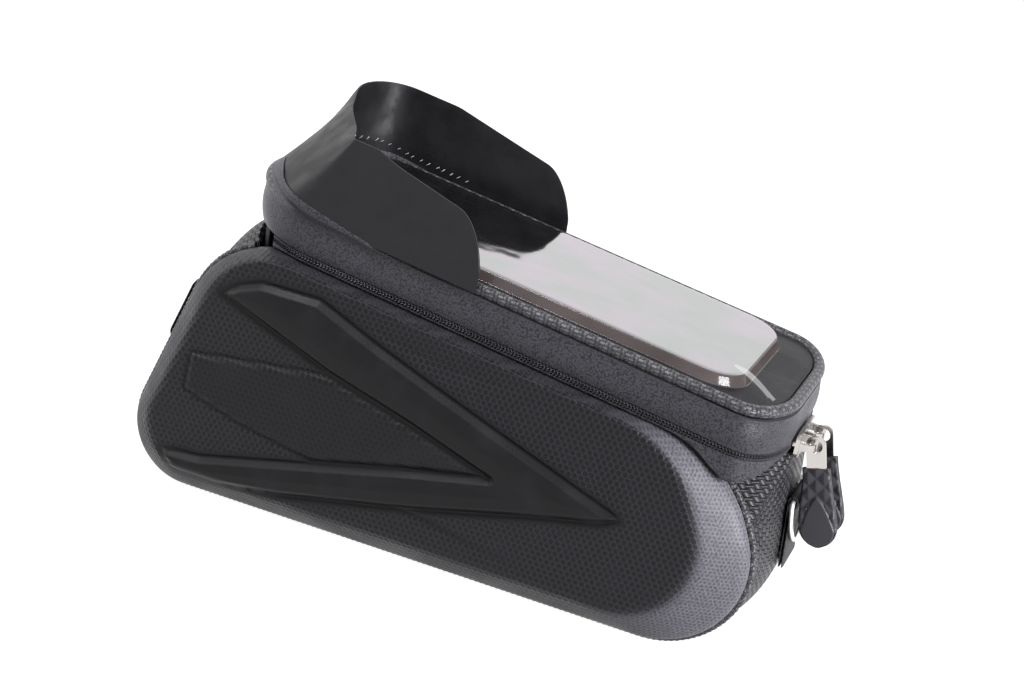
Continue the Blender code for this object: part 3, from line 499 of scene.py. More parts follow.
def coated_shader():
    """Coated fabric with a fine pebble grain."""
    shader = Shader("coated_fabric", 0.44, specular=0.25)
    place = shader.coordinates("Object")
    grain = shader.pebbles(place, 0.0006)
    cloud = shader.noise(place, 0.010, 2.0)
    tint = shader.mix(cloud, (0.040, 0.039, 0.046), (0.060, 0.058, 0.068))
    shader.set(
        Base_Color=shader.mix(shader.ramp(grain, 0.3, 0.8, 0.0, 0.85), tint, (0.006, 0.006, 0.007)),
        Roughness=shader.ramp(cloud, 0.3, 0.7, 0.40, 0.50),
        Sheen_Weight=0.15, Sheen_Roughness=0.4, Sheen_Tint=(0.8, 0.8, 0.95),
    )
    shader.bump(grain, 0.00009)
    return shader.material


def cloth_shader(name, pitches, repeat, depth, light, roughness, specular):
    """Dark webbing or zip tape, evenly woven."""
    shader = Shader(name, roughness, specular=specular)
    height = shader.weave(pitches, repeat)[0]
    shader.set(Base_Color=shader.mix(height, BLACK_THREAD, light))
    shader.bump(height, depth)
    return shader.material


def lining_shader():
    """Knitted lining over thin foam."""
    shader = Shader("padded_lining", 0.75, specular=0.2)
    place = shader.split(shader.coordinates("Object"))
    walls = shader.ramp(shader.hexagons(place[0], place[1], 0.0012), 0.25, 0.5)
    shader.set(
        Base_Color=shader.mix(walls, (0.007, 0.007, 0.008), (0.020, 0.020, 0.022)),
        Sheen_Weight=0.2, Sheen_Roughness=0.5,
    )
    shader.bump(walls, 0.00012)
    return shader.material


def plain_shader(name, dark, light, roughness, grain, depth, metallic=0.0, specular=0.5):
    """A moulded or metal surface with a faint grain and a cloudy tint."""
    shader = Shader(name, roughness, metallic, specular)
    place = shader.coordinates("Object")
    cloud = shader.noise(place, 0.006, 3.0)
    shader.set(
        Base_Color=shader.mix(cloud, dark, light),
        Roughness=shader.ramp(cloud, 0.3, 0.7, roughness * 0.85, roughness * 1.15),
    )
    shader.bump(shader.noise(place, grain, 2.0), depth)
    return shader.material


def film_shader(name, dark, light, metallic, roughness, alpha, specular=0.5):
    """Clear film: how much it mirrors and how much shows through it."""
    shader = Shader(name, roughness, metallic, specular)
    place = shader.coordinates("Object")
    cloud = shader.noise(place, 0.020, 2.0)
    shader.set(Base_Color=shader.mix(shader.ramp(cloud, 0.3, 0.7), dark, light), Alpha=alpha)
    shader.bump(shader.noise(place, 0.012, 1.0), 0.00015)
    return shader.material


SHELL = shell_shader()
WOVEN = woven_shader(
    "woven_trim", (0.0022, 0.0014), 2, 0.0005, (0.006, 0.006, 0.007), (0.085, 0.083, 0.095), 0.42)
PIPING = woven_shader(
    "woven_piping", (0.0012, 0.0014), 3, 0.00015, (0.004, 0.004, 0.005), (0.240, 0.236, 0.260), 0.36)
COATED = coated_shader()
WEBBING = cloth_shader("webbing", (0.0009, 0.0013), 2, 0.00012, (0.026, 0.025, 0.028), 0.6, 0.3)
TAPE = cloth_shader("zip_tape", (0.0004, 0.0004), 4, 0.00004, (0.022, 0.022, 0.024), 0.7, 0.2)
LINING = lining_shader()
TEETH = plain_shader("zip_teeth", (0.020, 0.020, 0.023), (0.034, 0.033, 0.038), 0.38, 0.0005, 0.00001)
BOARD = plain_shader("stiff_board", (0.020, 0.020, 0.020), (0.035, 0.034, 0.033), 0.6, 0.001, 0.00003)
VISOR = plain_shader(
    "visor_sheet", (0.0070, 0.0065, 0.0080), (0.010, 0.0095, 0.011), 0.46, 0.0005, 0.00003, specular=0.25)
STEEL = plain_shader(
    "plated_metal", (0.40, 0.375, 0.36), (0.52, 0.49, 0.47), 0.18, 0.003, 0.00001, metallic=1.0)
# The ring's metal is a paler, partly matte copy of the plated metal: partly its own bright plating, partly a
# painted reflection that keeps it white.
RING_METAL_PAINTED_REFLECTION = plain_shader(
    "plated_ring_painted_reflection", (0.88, 0.87, 0.86), (0.95, 0.94, 0.93), 0.30, 0.003, 0.00001, metallic=0.8)
RUBBER = plain_shader(
    "grip_rubber", (0.022, 0.021, 0.025), (0.030, 0.029, 0.034), 0.50, 0.0004, 0.00001, specular=0.35)
THREAD = plain_shader("thread", (0.30, 0.30, 0.31), (0.55, 0.55, 0.56), 0.6, 0.0005, 0.00002)
FILM_TOP = film_shader("clear_film_top", (0.42, 0.44, 0.43), (0.49, 0.45, 0.49), 1.0, 0.07, 0.88)
FILM_WALL = film_shader(
    "clear_film_wall", (0.060, 0.046, 0.044), (0.095, 0.076, 0.073), 0.0, 0.12, 0.75, 0.4)
FILM_EDGE = film_shader(
    "clear_film_edge", (0.014, 0.013, 0.015), (0.030, 0.028, 0.031), 0.0, 0.30, 0.80, 0.05)


# Geometry helpers

def smooth(value):
    """0 below 0, 1 above 1 and an easy curve between."""
    value = np.clip(value, 0.0, 1.0)
    return value * value * (3 - 2 * value)


def lengths(points, closed):
    """How far along a row of points each one is, with one more for the way back if it is closed."""
    row = np.vstack([points, points[:1]]) if closed else points
    return np.concatenate([[0.0], np.cumsum(np.linalg.norm(np.diff(row, axis=0), axis=1))])


def resampled(points, travel, places):
    """The points at these distances along a row of points, whose own distances are its travel."""
    return np.column_stack([np.interp(places, travel, points[:, k]) for k in range(points.shape[1])])


def directions(path, closed):
    """The direction of travel at each point of a path."""
    if closed:
        along = np.roll(path, -1, axis=0) - np.roll(path, 1, axis=0)
    else:
        along = np.gradient(path, axis=0)
    return along / np.linalg.norm(along, axis=1)[:, None]


def cell_corners(grid):
    """The four corners of each cell of a grid, in order round it."""
    return [grid[:-1, :-1], grid[:-1, 1:], grid[1:, 1:], grid[1:, :-1]]


def grid_piece(name, grid, material, body, stands_for=(), rows_closed=False, caps=False,
               attributes=None, straight=False):
    """A mesh over a grid of points (rows, columns, 3) in the drawing's frame, closed across. Its UV is in
    metres, the length along each column's own, or all the columns' mean where it is straight."""
    rows, columns = grid.shape[:2]
    index = np.arange(rows * columns).reshape(rows, columns)
    across = np.concatenate([grid, grid[:, :1]], axis=1)
    steps = np.linalg.norm(np.diff(across, axis=1), axis=2)
    u = np.hstack([np.zeros((rows, 1)), np.cumsum(steps, axis=1)])
    u -= u[:, columns // 4: columns // 4 + 1]
    along = np.concatenate([grid, grid[:1]]) if rows_closed else grid
    steps = np.linalg.norm(np.diff(along, axis=0), axis=2)
    v = np.vstack([np.zeros((1, columns)), np.cumsum(steps, axis=0)])
    if straight:
        v = np.repeat(v.mean(axis=1)[:, None], columns, axis=1)
    if rows_closed:
        index = np.vstack([index, index[:1]])
        u = np.vstack([u, u[:1]])
    index = np.hstack([index, index[:, :1]])
    v = np.hstack([v, v[:, :1]])
    faces = np.stack(cell_corners(index), axis=-1).reshape(-1, 4).tolist()
    places = np.stack([u, v], axis=-1)
    corners = np.stack(cell_corners(places), axis=2).reshape(-1, 2)
    if caps:
        faces += [index[0, :columns][::-1].tolist(), index[-1, :columns].tolist()]
        corners = np.vstack([corners, places[0, :columns][::-1], places[-1, :columns]])
    points = grid.reshape(-1, 3) + np.array((SHIFT, 0, 0))
    mesh = bpy.data.meshes.new(name)
    mesh.from_pydata(points.tolist(), [], faces)
    layer = mesh.uv_layers.new(name="UVMap")
    layer.data.foreach_set("uv", corners.astype(np.float32).ravel())
    for key, values in (attributes or {}).items():
        attribute = mesh.attributes.new(key, "FLOAT", "POINT")
        attribute.data.foreach_set("value", values.astype(np.float32).ravel())
    work = bmesh.new()
    work.from_mesh(mesh)
    bmesh.ops.remove_doubles(work, verts=work.verts, dist=MERGE_DISTANCE)
    bmesh.ops.recalc_face_normals(work, faces=work.faces)
    work.to_mesh(mesh)
    work.free()
    mesh.shade_smooth()
    mesh.set_sharp_from_angle(angle=SHARP_ANGLE)
    return finish_piece(bpy.data.objects.new(name, mesh), material, body, stands_for)


def finish_piece(obj, material, body, stands_for=()):
    """Links a piece, gives it its material and ties it to its body and its CAD nodes."""
    if not obj.data.materials:
        obj.data.materials.append(material)
    bpy.context.scene.collection.objects.link(obj)
    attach(obj, body)
    if stands_for:
        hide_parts(*stands_for)
    return obj


def moved_in(corners, reaches):
    """A polygon with each edge moved inwards by its own reach. Edge i runs from corner i to the next one."""
    count = len(corners)
    middle = sum((Vector(corner) for corner in corners), Vector((0, 0))) / count
    lines = []
    for i in range(count):
        start = Vector(corners[i])
        along = (Vector(corners[(i + 1) % count]) - start).normalized()
        inward = Vector((-along.y, along.x))
        if inward.dot(middle - start) < 0:
            inward = -inward
        lines.append((start + inward * reaches[i], along))
    result = []
    for i in range(count):
        (a, da), (b, db) = lines[i - 1], lines[i]
        distance = (b - a).cross(db) / da.cross(db)
        result.append(tuple(a + da * distance))
    return result


def turned(vector, angle):
    """A 2D vector turned clockwise, which is how mathutils signs its angles."""
    c, s = math.cos(angle), math.sin(angle)
    return Vector((vector.x * c + vector.y * s, -vector.x * s + vector.y * c))


def rounded(corners, radii, edges):
    """A closed outline: an arc at each corner, then the straight edge to the next, in even steps."""
    count = len(corners)
    arcs = []
    for i in range(count):
        corner = Vector(corners[i])
        back = (Vector(corners[i - 1]) - corner).normalized()
        ahead = (Vector(corners[(i + 1) % count]) - corner).normalized()
        half = back.angle(ahead) / 2
        centre = corner + (back + ahead).normalized() * radii[i] / math.sin(half)
        start = corner + back * radii[i] / math.tan(half) - centre
        end = corner + ahead * radii[i] / math.tan(half) - centre
        sweep = start.angle_signed(end)
        arcs.append([centre + turned(start, sweep * k / ARC_STEPS) for k in range(ARC_STEPS + 1)])
    points = []
    for i in range(count):
        first, last = arcs[i][-1], arcs[(i + 1) % count][0]
        points += arcs[i]
        points += [first.lerp(last, k / edges[i]) for k in range(1, edges[i])]
    return np.array(points)


def inset_outline(corners, radii, reach):
    """A closed outline moved in by a reach, the radii of its corners smaller by as much."""
    return rounded(moved_in(corners, [reach] * 4), [radius - reach for radius in radii], SEAM_EDGES)


def sewn_stretch(outline):
    """The stretch of an outline that is sewn to the gusset: front top, under the bag, rear top."""
    last = sum(SEAM_EDGES[:3]) + 3 * ARC_STEPS + SEAM_END
    return outline[SEAM_START: last + 1]


def nearest_on(points, start, end):
    """(share along, nearest point) on a segment for each point."""
    along = end - start
    share = np.clip(((points - start) @ along) / (along @ along), 0, 1)
    return share, start + share[:, None] * along


def rings_to_line(outline, line, count):
    """Outlines from the edge of a face to a line along its middle."""
    middle = nearest_on(outline, *np.array(line))[1]
    return [outline + (middle - outline) * k / count for k in range(1, count + 1)]


def depth_inside(points, outline):
    """How far inside a polygon each point lies, negative outside."""
    nearest = np.full(len(points), np.inf)
    inside = np.zeros(len(points), bool)
    outline = np.array(outline)
    for start, end in zip(outline, np.roll(outline, -1, axis=0)):
        along = end - start
        foot = nearest_on(points, start, end)[1]
        nearest = np.minimum(nearest, np.linalg.norm(points - foot, axis=1))
        rise = along[1] if abs(along[1]) > 1e-12 else 1e-12
        crossing = start[0] + (points[:, 1] - start[1]) / rise * along[0]
        inside ^= ((start[1] > points[:, 1]) != (end[1] > points[:, 1])) & (points[:, 0] < crossing)
    return np.where(inside, nearest, -nearest)


def away_from_line(points, line):
    """(distance, share along) of each point from a row of joined segments."""
    nearest = np.full(len(points), np.inf)
    place = np.zeros(len(points))
    line = np.array(line)
    for k, (start, end) in enumerate(zip(line, line[1:])):
        share, foot = nearest_on(points, start, end)
        distance = np.linalg.norm(points - foot, axis=1)
        place = np.where(distance < nearest, (k + share) / (len(line) - 1), place)
        nearest = np.minimum(nearest, distance)
    return nearest, place


# Side shells

def shell_outline(share, wall):
    """One outline of a shell, part of the way up its border, moved in by the wall for the inside."""
    reaches = [reach * share + wall for reach in BORDERS]
    radii = [seam + (face - seam) * share - wall for seam, face in zip(SEAM_RADII, FACE_RADII)]
    return rounded(moved_in(SEAM_CORNERS, reaches), radii, SEAM_EDGES)


def relief(points, shoulder):
    """(height, cells, crease_and_shade) at points in X and Z: the bars and wedge, the honeycomb, and the
    creases, whose mask also paints shade into the colour.
    """
    bar = depth_inside(points, BAR_OUTLINE)
    wedge = depth_inside(points, WEDGE_OUTLINE)
    hollow = depth_inside(points, HOLLOW_OUTLINE)
    low_line, place = away_from_line(points, LOW_LINE)
    bar_share = smooth(bar / RELIEF_EDGE)
    wedge_share = smooth(wedge / RELIEF_EDGE) * (1 - bar_share)
    height = BAR_HEIGHT * bar_share + WEDGE_HEIGHT * wedge_share
    height += BAR_CROWN * smooth(bar / BAR_CROWN_EDGE)
    height -= HOLLOW_DEPTH * smooth(hollow / (4 * RELIEF_EDGE)) * (1 - bar_share)
    # The crease mask cuts a shallow groove and also marks where the colour is darkened as painted shade.
    crease_and_shade = np.zeros(len(points))
    for edge, share in ((bar, 1.0), (wedge, 0.8 * (bar < 0))):
        crease_and_shade = np.maximum(crease_and_shade, share * np.exp(-((edge + CREASE_WIDTH / 2) / CREASE_WIDTH) ** 2))
    crease_and_shade = np.maximum(crease_and_shade, (1 - place) * np.exp(-(low_line / (2 * CREASE_WIDTH)) ** 2))
    height -= CREASE_DEPTH * crease_and_shade
    cells = smooth(-bar / RELIEF_EDGE - 0.4) * (1 - 0.6 * wedge_share)
    return height * shoulder, cells * (0.3 + 0.7 * shoulder), crease_and_shade * shoulder


def side_shell(name, side):
    """A moulded dish with a sloped border and raised bars on its face."""
    inner_outlines = [shell_outline(share, SHELL_WALL) for share, depth in BORDER_CURVE[::-3]]
    inner_depths = [depth for share, depth in BORDER_CURVE[::-3]]
    inner_depth = SHELL_DEPTH - SHELL_WALL
    rings = [(ring, inner_depth) for ring in rings_to_line(inner_outlines[0], FACE_MIDDLE, 6)[::-1]]
    rings += [(ring, depth * inner_depth) for ring, depth in zip(inner_outlines, inner_depths)]
    inner_count = len(rings)
    outer_outlines = [shell_outline(share, 0.0) for share, depth in BORDER_CURVE]
    rings += [(ring, depth * SHELL_DEPTH) for ring, (share, depth) in zip(outer_outlines, BORDER_CURVE)]
    rings += [(ring, SHELL_DEPTH) for ring in rings_to_line(outer_outlines[-1], FACE_MIDDLE, FACE_RINGS)]
    flat = np.array([ring for ring, depth in rings])
    depth = np.repeat([depth for ring, depth in rings], flat.shape[1]).reshape(flat.shape[:2])
    outer = flat[inner_count:].reshape(-1, 2)
    shoulder = smooth((depth[inner_count:].ravel() / SHELL_DEPTH - 0.6) / 0.4)
    height, cells, crease_and_shade = relief(outer, shoulder)
    # Painted highlight: the border is painted pale up to near the face, fully at the rear and only a little
    # at the front.
    slope_highlight = smooth((SLOPE_END - depth[inner_count:].ravel() / SHELL_DEPTH) / SLOPE_FADE)
    slope_highlight *= SLOPE_FRONT_SHARE + (1 - SLOPE_FRONT_SHARE) * smooth((outer[:, 0] - SLOPE_FRONT) / SLOPE_LENGTH)
    attributes = {}
    for key, values in (("cells", cells), ("crease_and_shade", crease_and_shade), ("slope_highlight", slope_highlight)):
        attributes[key] = np.zeros(flat.shape[:2])
        attributes[key][inner_count:] = values.reshape(depth[inner_count:].shape)
    depth[inner_count:] += height.reshape(depth[inner_count:].shape)
    grid = np.stack([flat[..., 0], side * (SHELL_SEAM_Y + depth), flat[..., 1]], axis=-1)
    skin = name.replace("side_shell", "shell_skin")
    return grid_piece(skin, grid, SHELL, "bag", [name], attributes=attributes)


# Gusset, piping and base

def gusset_corners():
    """Corners of the gusset's middle line, from the leans of its two ends."""
    front_rise = GUSSET_FRONT_TOP[1] - GUSSET_Z
    rear_rise = GUSSET_REAR_TOP[1] - GUSSET_Z
    return (
        GUSSET_FRONT_TOP,
        (GUSSET_FRONT_TOP[0] - front_rise * GUSSET_FRONT_LEAN, GUSSET_Z),
        (GUSSET_REAR_TOP[0] + rear_rise * GUSSET_REAR_LEAN, GUSSET_Z),
        GUSSET_REAR_TOP,
    )


def gusset():
    """The strip between the two shells, curved outwards across its width."""
    shares = np.sin(np.linspace(-math.pi / 2, math.pi / 2, 41))
    sides = []
    for wall, order in ((0.0, shares), (GUSSET_WALL, shares[::-1])):
        seam = sewn_stretch(inset_outline(SEAM_CORNERS, SEAM_RADII, wall))
        middle = sewn_stretch(inset_outline(gusset_corners(), GUSSET_RADII, wall))
        bow = 1 - np.abs(order) ** GUSSET_ROUND
        flat = seam[:, None] + (middle - seam)[:, None] * bow[None, :, None]
        across = np.broadcast_to(order * GUSSET_HALF, flat.shape[:2])
        sides.append(np.stack([flat[..., 0], across, flat[..., 1]], axis=-1))
    grid = np.concatenate(sides, axis=1)
    obj = grid_piece("gusset_strip", grid, WOVEN, "bag", ["gusset"], caps=True)


def tube_grid(path, radius, around, closed, ripple=None):
    """Sections round a path, with an optional ripple of the radius at each point."""
    along = directions(path, closed)
    guide = np.array((0.0, 0.0, 1.0)) if abs(along[:, 2]).max() < 0.9 else np.array((0.0, 1.0, 0.0))
    side = np.cross(along, guide)
    side /= np.linalg.norm(side, axis=1)[:, None]
    up = np.cross(side, along)
    angles = np.linspace(0, 2 * math.pi, around, endpoint=False)
    size = np.full((len(path), around), radius)
    if ripple is not None:
        size += ripple(angles)
    turn = np.cos(angles)[None, :, None] * side[:, None] + np.sin(angles)[None, :, None] * up[:, None]
    return path[:, None] + size[..., None] * turn


def seam_piping(name, side):
    """The bound edge of the seam between a shell and the gusset, toothed along its outer side."""
    flat = sewn_stretch(inset_outline(SEAM_CORNERS, SEAM_RADII, -GAP))
    travel = lengths(flat, False)
    even = np.linspace(0, travel[-1], int(travel[-1] / PIPING_STEP))
    xs, zs = resampled(flat, travel, even).T
    path = np.stack([xs, np.full(len(xs), side * SEAM_HALF), zs], axis=-1)
    teeth = np.abs((even / PIPING_TOOTH_PITCH) % 1 - 0.5) * 2

    def ripple(angles):
        return PIPING_TOOTH * (teeth[:, None] - 0.6) * (0.5 + 0.5 * np.abs(np.cos(angles)))[None, :]

    grid = tube_grid(path, PIPING_RADIUS, 16, False, ripple)
    return grid_piece(name + "_edge", grid, PIPING, "bag", [name], caps=True, straight=True)


def slab(name, x_middle):
    """A webbing keeper under the base, its long edges rolled."""
    corner = KEEPER_LENGTH / 8
    a, b = KEEPER_LENGTH / 2, KEEPER_HALF_WIDTH
    roll = KEEPER_THICKNESS / 3
    loops = []
    for inset, z in ((b / 2, 0.0), (roll, 0.0), (0.0, roll), (0.0, KEEPER_THICKNESS - roll),
                     (roll, KEEPER_THICKNESS), (b / 2, KEEPER_THICKNESS)):
        c, d = a - inset, b - inset
        radius = max(corner - inset, corner / 4)
        outline = rounded(((-c, -d), (c, -d), (c, d), (-c, d)), [radius] * 4, (8,) * 4)
        loops.append(np.column_stack([outline[:, 0] + x_middle, outline[:, 1], np.full(len(outline), z)]))
    return grid_piece(name + "_strip", np.array(loops), WEBBING, "bag", [name], caps=True)


def ribbon(name, path, half_width, thickness, stands_for):
    """A flat band with rolled edges across the bag, along a path in X and Z that gives its cut length."""
    path = np.array(path)
    along = directions(path, False)
    side = np.column_stack([along[:, 1], -along[:, 0]])
    across = np.linspace(-1, 1, 15)
    roll = ((np.abs(across) * half_width - half_width + thickness) / thickness).clip(0)
    edge = np.sqrt(np.clip(1 - roll ** 2, 0.05, 1))
    outer = [(a, 0.5 * e) for a, e in zip(across, edge)]
    section = outer + [(a, -h) for a, h in reversed(outer)]
    loops = []
    for point, normal in zip(path, side):
        loops.append([
            (point[0] + normal[0] * h * thickness, a * half_width, point[1] + normal[1] * h * thickness)
            for a, h in section
        ])
    obj = grid_piece(name, np.array(loops), WEBBING, "bag", [stands_for], caps=True)
    return obj


def front_strap_loop():
    """Webbing that stands off the front of the gusset, for a strap to pass behind it."""
    along = np.array((-GUSSET_FRONT_LEAN, -1.0))
    along /= np.linalg.norm(along)
    out = np.array((along[1], -along[0]))
    top_x = GUSSET_FRONT_TOP[0] - (GUSSET_FRONT_TOP[1] - LOOP_TOP_Z) * GUSSET_FRONT_LEAN
    start = np.array((top_x, LOOP_TOP_Z))
    share = np.linspace(0, 1, 61)
    rise = smooth(np.minimum(share, 1 - share) * 4)
    stand = GAP + LOOP_THICKNESS / 2 + LOOP_STAND * rise
    path = start + along * (LOOP_LENGTH * share)[:, None] + out * stand[:, None]
    return ribbon("front_loop", path, LOOP_HALF_WIDTH, LOOP_THICKNESS, "front_strap_loop")


def rear_wall_x(z):
    """X of the gusset's middle at the rear, at a height."""
    return GUSSET_REAR_TOP[0] + (GUSSET_REAR_TOP[1] - z) * GUSSET_REAR_LEAN


RING_BAR = Vector((rear_wall_x(RING_BAR_Z) + GAP + TAB_THICKNESS + FOLD_ROOM + RING_WIRE, RING_BAR_Z))


def rear_tab():
    """Webbing sewn to the rear, folded over the bar of the ring."""
    fold = RING_WIRE + FOLD_ROOM + TAB_THICKNESS / 2
    back = GAP + TAB_THICKNESS / 2
    front = back + TAB_THICKNESS + GAP
    heights = np.linspace(TAB_BOTTOM_Z, RING_BAR_Z - TAB_BACK_STOP, 16)
    path = [(rear_wall_x(z) + back, z) for z in heights]
    for i in range(ARC_STEPS + 1):
        angle = math.pi * (1 - i / ARC_STEPS)
        path.append((RING_BAR.x + math.cos(angle) * fold, RING_BAR.y + math.sin(angle) * fold))
    for share in np.linspace(0, 1, 22)[1:]:
        z = RING_BAR_Z + (TAB_BOTTOM_Z - RING_BAR_Z) * share
        swell = (RING_BAR.x + fold - rear_wall_x(RING_BAR_Z) - front) * (1 - smooth(share * 4))
        path.append((rear_wall_x(z) + front + swell, z))
    return ribbon("ring_tab", path, TAB_HALF_WIDTH, TAB_THICKNESS, "rear_webbing_tab")


def d_ring():
    """A wire ring with one straight side, which hangs from the tab."""
    flat = [(y, 0.0) for y in np.linspace(-RING_HALF_WIDTH + RING_CORNER, RING_HALF_WIDTH - RING_CORNER, 12)]
    quarter = np.radians(np.linspace(90, 0, 9)[1:])
    middle = RING_HALF_WIDTH - RING_CORNER
    flat += [(middle + math.cos(a) * RING_CORNER, RING_CORNER - math.sin(a) * RING_CORNER) for a in quarter]
    bow = np.linspace(0, math.pi, 41)
    flat += [(math.cos(a) * RING_HALF_WIDTH, RING_HEIGHT - RING_HALF_WIDTH + math.sin(a) * RING_HALF_WIDTH)
             for a in bow]
    flat += [(-middle - math.cos(a) * RING_CORNER, RING_CORNER - math.sin(a) * RING_CORNER)
             for a in quarter[::-1]][:-1]
    path = [
        (RING_BAR.x + math.sin(RING_TILT) * d, y, RING_BAR.y - math.cos(RING_TILT) * d)
        for y, d in flat
    ]
    spaced = [path[0]]
    for point in path[1:]:
        if math.dist(point, spaced[-1]) > 1e-5:
            spaced.append(point)
    path = np.array(spaced)
    plane = np.array((math.cos(RING_TILT), 0.0, math.sin(RING_TILT)))
    inward = np.cross(directions(path, True), plane)
    angles = np.linspace(0, 2 * math.pi, 20, endpoint=False)
    turn = np.cos(angles)[None, :, None] * plane + np.sin(angles)[None, :, None] * inward[:, None]
    grid = path[:, None] + RING_WIRE * turn
    return grid_piece("ring_wire", grid, RING_METAL_PAINTED_REFLECTION, "ring", ["d_ring"], rows_closed=True)


# Lid

def lid_points(u, v, w):
    """Points given along the lid, across it and straight up from it."""
    u, v, w = np.broadcast_arrays(u, v, w)
    return np.stack([u * math.cos(LID_SLOPE), v, LID_Z - u * math.sin(LID_SLOPE) + w], axis=-1)


def lid_plan(front, rear, half, front_corner, rear_corner, side_steps=90):
    """A closed plan in the lid's plane, from the middle of the front round -Y, with elliptic corners."""
    arcs = []
    angles = np.radians(np.linspace(0, 90, ARC_STEPS + 1))
    for (length, width), end, turn in ((front_corner, front, 1), (rear_corner, rear, -1)):
        u = end + turn * length * (1 - np.cos(angles))
        arc = np.column_stack([u, -half + width * (1 - np.sin(angles))])
        arcs.append(arc if turn > 0 else arc[::-1])
    share = np.linspace(0, 1, side_steps + 1)[1:-1, None]
    side = arcs[0][-1] + (arcs[1][0] - arcs[0][-1]) * share
    half_plan = np.vstack([[(front, 0.0)], arcs[0], side, arcs[1], [(rear, 0.0)]])
    return np.vstack([half_plan, half_plan[1:-1][::-1] * (1, -1)])


def plan_normals(plan):
    """The outward direction at each point of a closed plan."""
    along = directions(plan, True)
    normals = np.column_stack([-along[:, 1], along[:, 0]])
    outward = np.sum(normals * (plan - plan.mean(axis=0)), axis=1) > 0
    return np.where(outward[:, None], normals, -normals)


RIM_PLAN = lid_plan(-LID_LENGTH, 0.0, LID_HALF, LID_FRONT_CORNER, LID_REAR_CORNER)
RIM_NORMALS = plan_normals(RIM_PLAN)


def visor_middle(point, normal, share):
    """(plan point, height) on the visor's middle surface, at a share of its height. Arrays of plan points."""
    back = VISOR_REAR - point[:, 0]
    facing = np.maximum(-normal[:, 0], 0.0)
    angle = VISOR_SIDE_ANGLE + (VISOR_FRONT_ANGLE - VISOR_SIDE_ANGLE) * smooth(facing)
    end = np.clip(back / VISOR_END_ROUND + VISOR_END_SHARE, 0.0, 1.0)
    rise = np.clip(back / VISOR_RISE, 0.0, 1.0)
    top = VISOR_REAR_HEIGHT + (VISOR_FRONT_HEIGHT - VISOR_REAR_HEIGHT) * rise
    top = top * np.sqrt(1 - (1 - end) ** 2)
    base = point - normal * (RIM_RADIUS - VISOR_REACH * np.cos(angle))[:, None]
    base_w = RIM_W + VISOR_REACH * np.sin(angle)
    lean = -normal * ((1 - facing) * VISOR_SIDE_LEAN * top / VISOR_FRONT_HEIGHT)[:, None]
    bend = VISOR_BEND * smooth((VISOR_BEND_START - point[:, 0]) / VISOR_BEND_LENGTH)
    leaning = facing + (1 - facing) * bend
    lean[:, 0] += leaning * (VISOR_FRONT_LEAN - VISOR_SKEW * point[:, 1])
    return base + lean * share[:, None], base_w + (top - base_w) * share, base_w, top


def visor_stitches():
    """The pale ends of the thread that holds the visor, along the inside of its base."""
    stations = [i for i in range(len(RIM_PLAN)) if RIM_PLAN[i, 0] < STITCH_REAR]
    stations.sort(key=lambda i: math.atan2(RIM_PLAN[i, 1], -RIM_PLAN[i, 0] - LID_LENGTH / 2))
    points, normals = RIM_PLAN[stations], RIM_NORMALS[stations]
    base, base_w, _, _ = visor_middle(points, normals, np.full(len(points), STITCH_SHARE))
    inside = base - normals * (VISOR_THICKNESS / 2 + STITCH_HALF)
    path = lid_points(inside[:, 0], inside[:, 1], base_w)
    travel = lengths(path, False)
    rolls = np.linspace(0, 2 * math.pi, STITCH_AROUND, endpoint=False)
    chance = np.random.default_rng(STITCH_SEED)
    rings = []
    for start in np.arange(0, travel[-1] - STITCH_LENGTH, STITCH_PITCH):
        start += chance.uniform(0, STITCH_PITCH / 3)
        for share, size in ((0.0, 0.1), (0.2, 0.9), (0.8, 0.9), (1.0, 0.1)):
            at = start + STITCH_LENGTH * share
            middle = resampled(path, travel, [at])[0]
            middle[2] += STITCH_LENGTH * (share - 0.5) * chance.uniform(0.6, 1.2)
            turn = np.column_stack([np.cos(rolls), np.sin(rolls), 0 * rolls]) * STITCH_HALF * size
            rings.append(middle + turn)
    rings = np.array(rings)
    faces = []
    for first in range(0, len(rings), 4):
        for ring in range(first, first + 3):
            for k in range(STITCH_AROUND):
                a, b = ring * STITCH_AROUND + k, ring * STITCH_AROUND + (k + 1) % STITCH_AROUND
                faces.append((a, b, b + STITCH_AROUND, a + STITCH_AROUND))
        faces.append([first * STITCH_AROUND + k for k in range(STITCH_AROUND)][::-1])
        faces.append([(first + 3) * STITCH_AROUND + k for k in range(STITCH_AROUND)])
    mesh = bpy.data.meshes.new("visor_thread")
    mesh.from_pydata((rings.reshape(-1, 3) + np.array((SHIFT, 0, 0))).tolist(), [], faces)
    mesh.shade_smooth()
    return finish_piece(bpy.data.objects.new("visor_thread", mesh), THREAD, "lid")


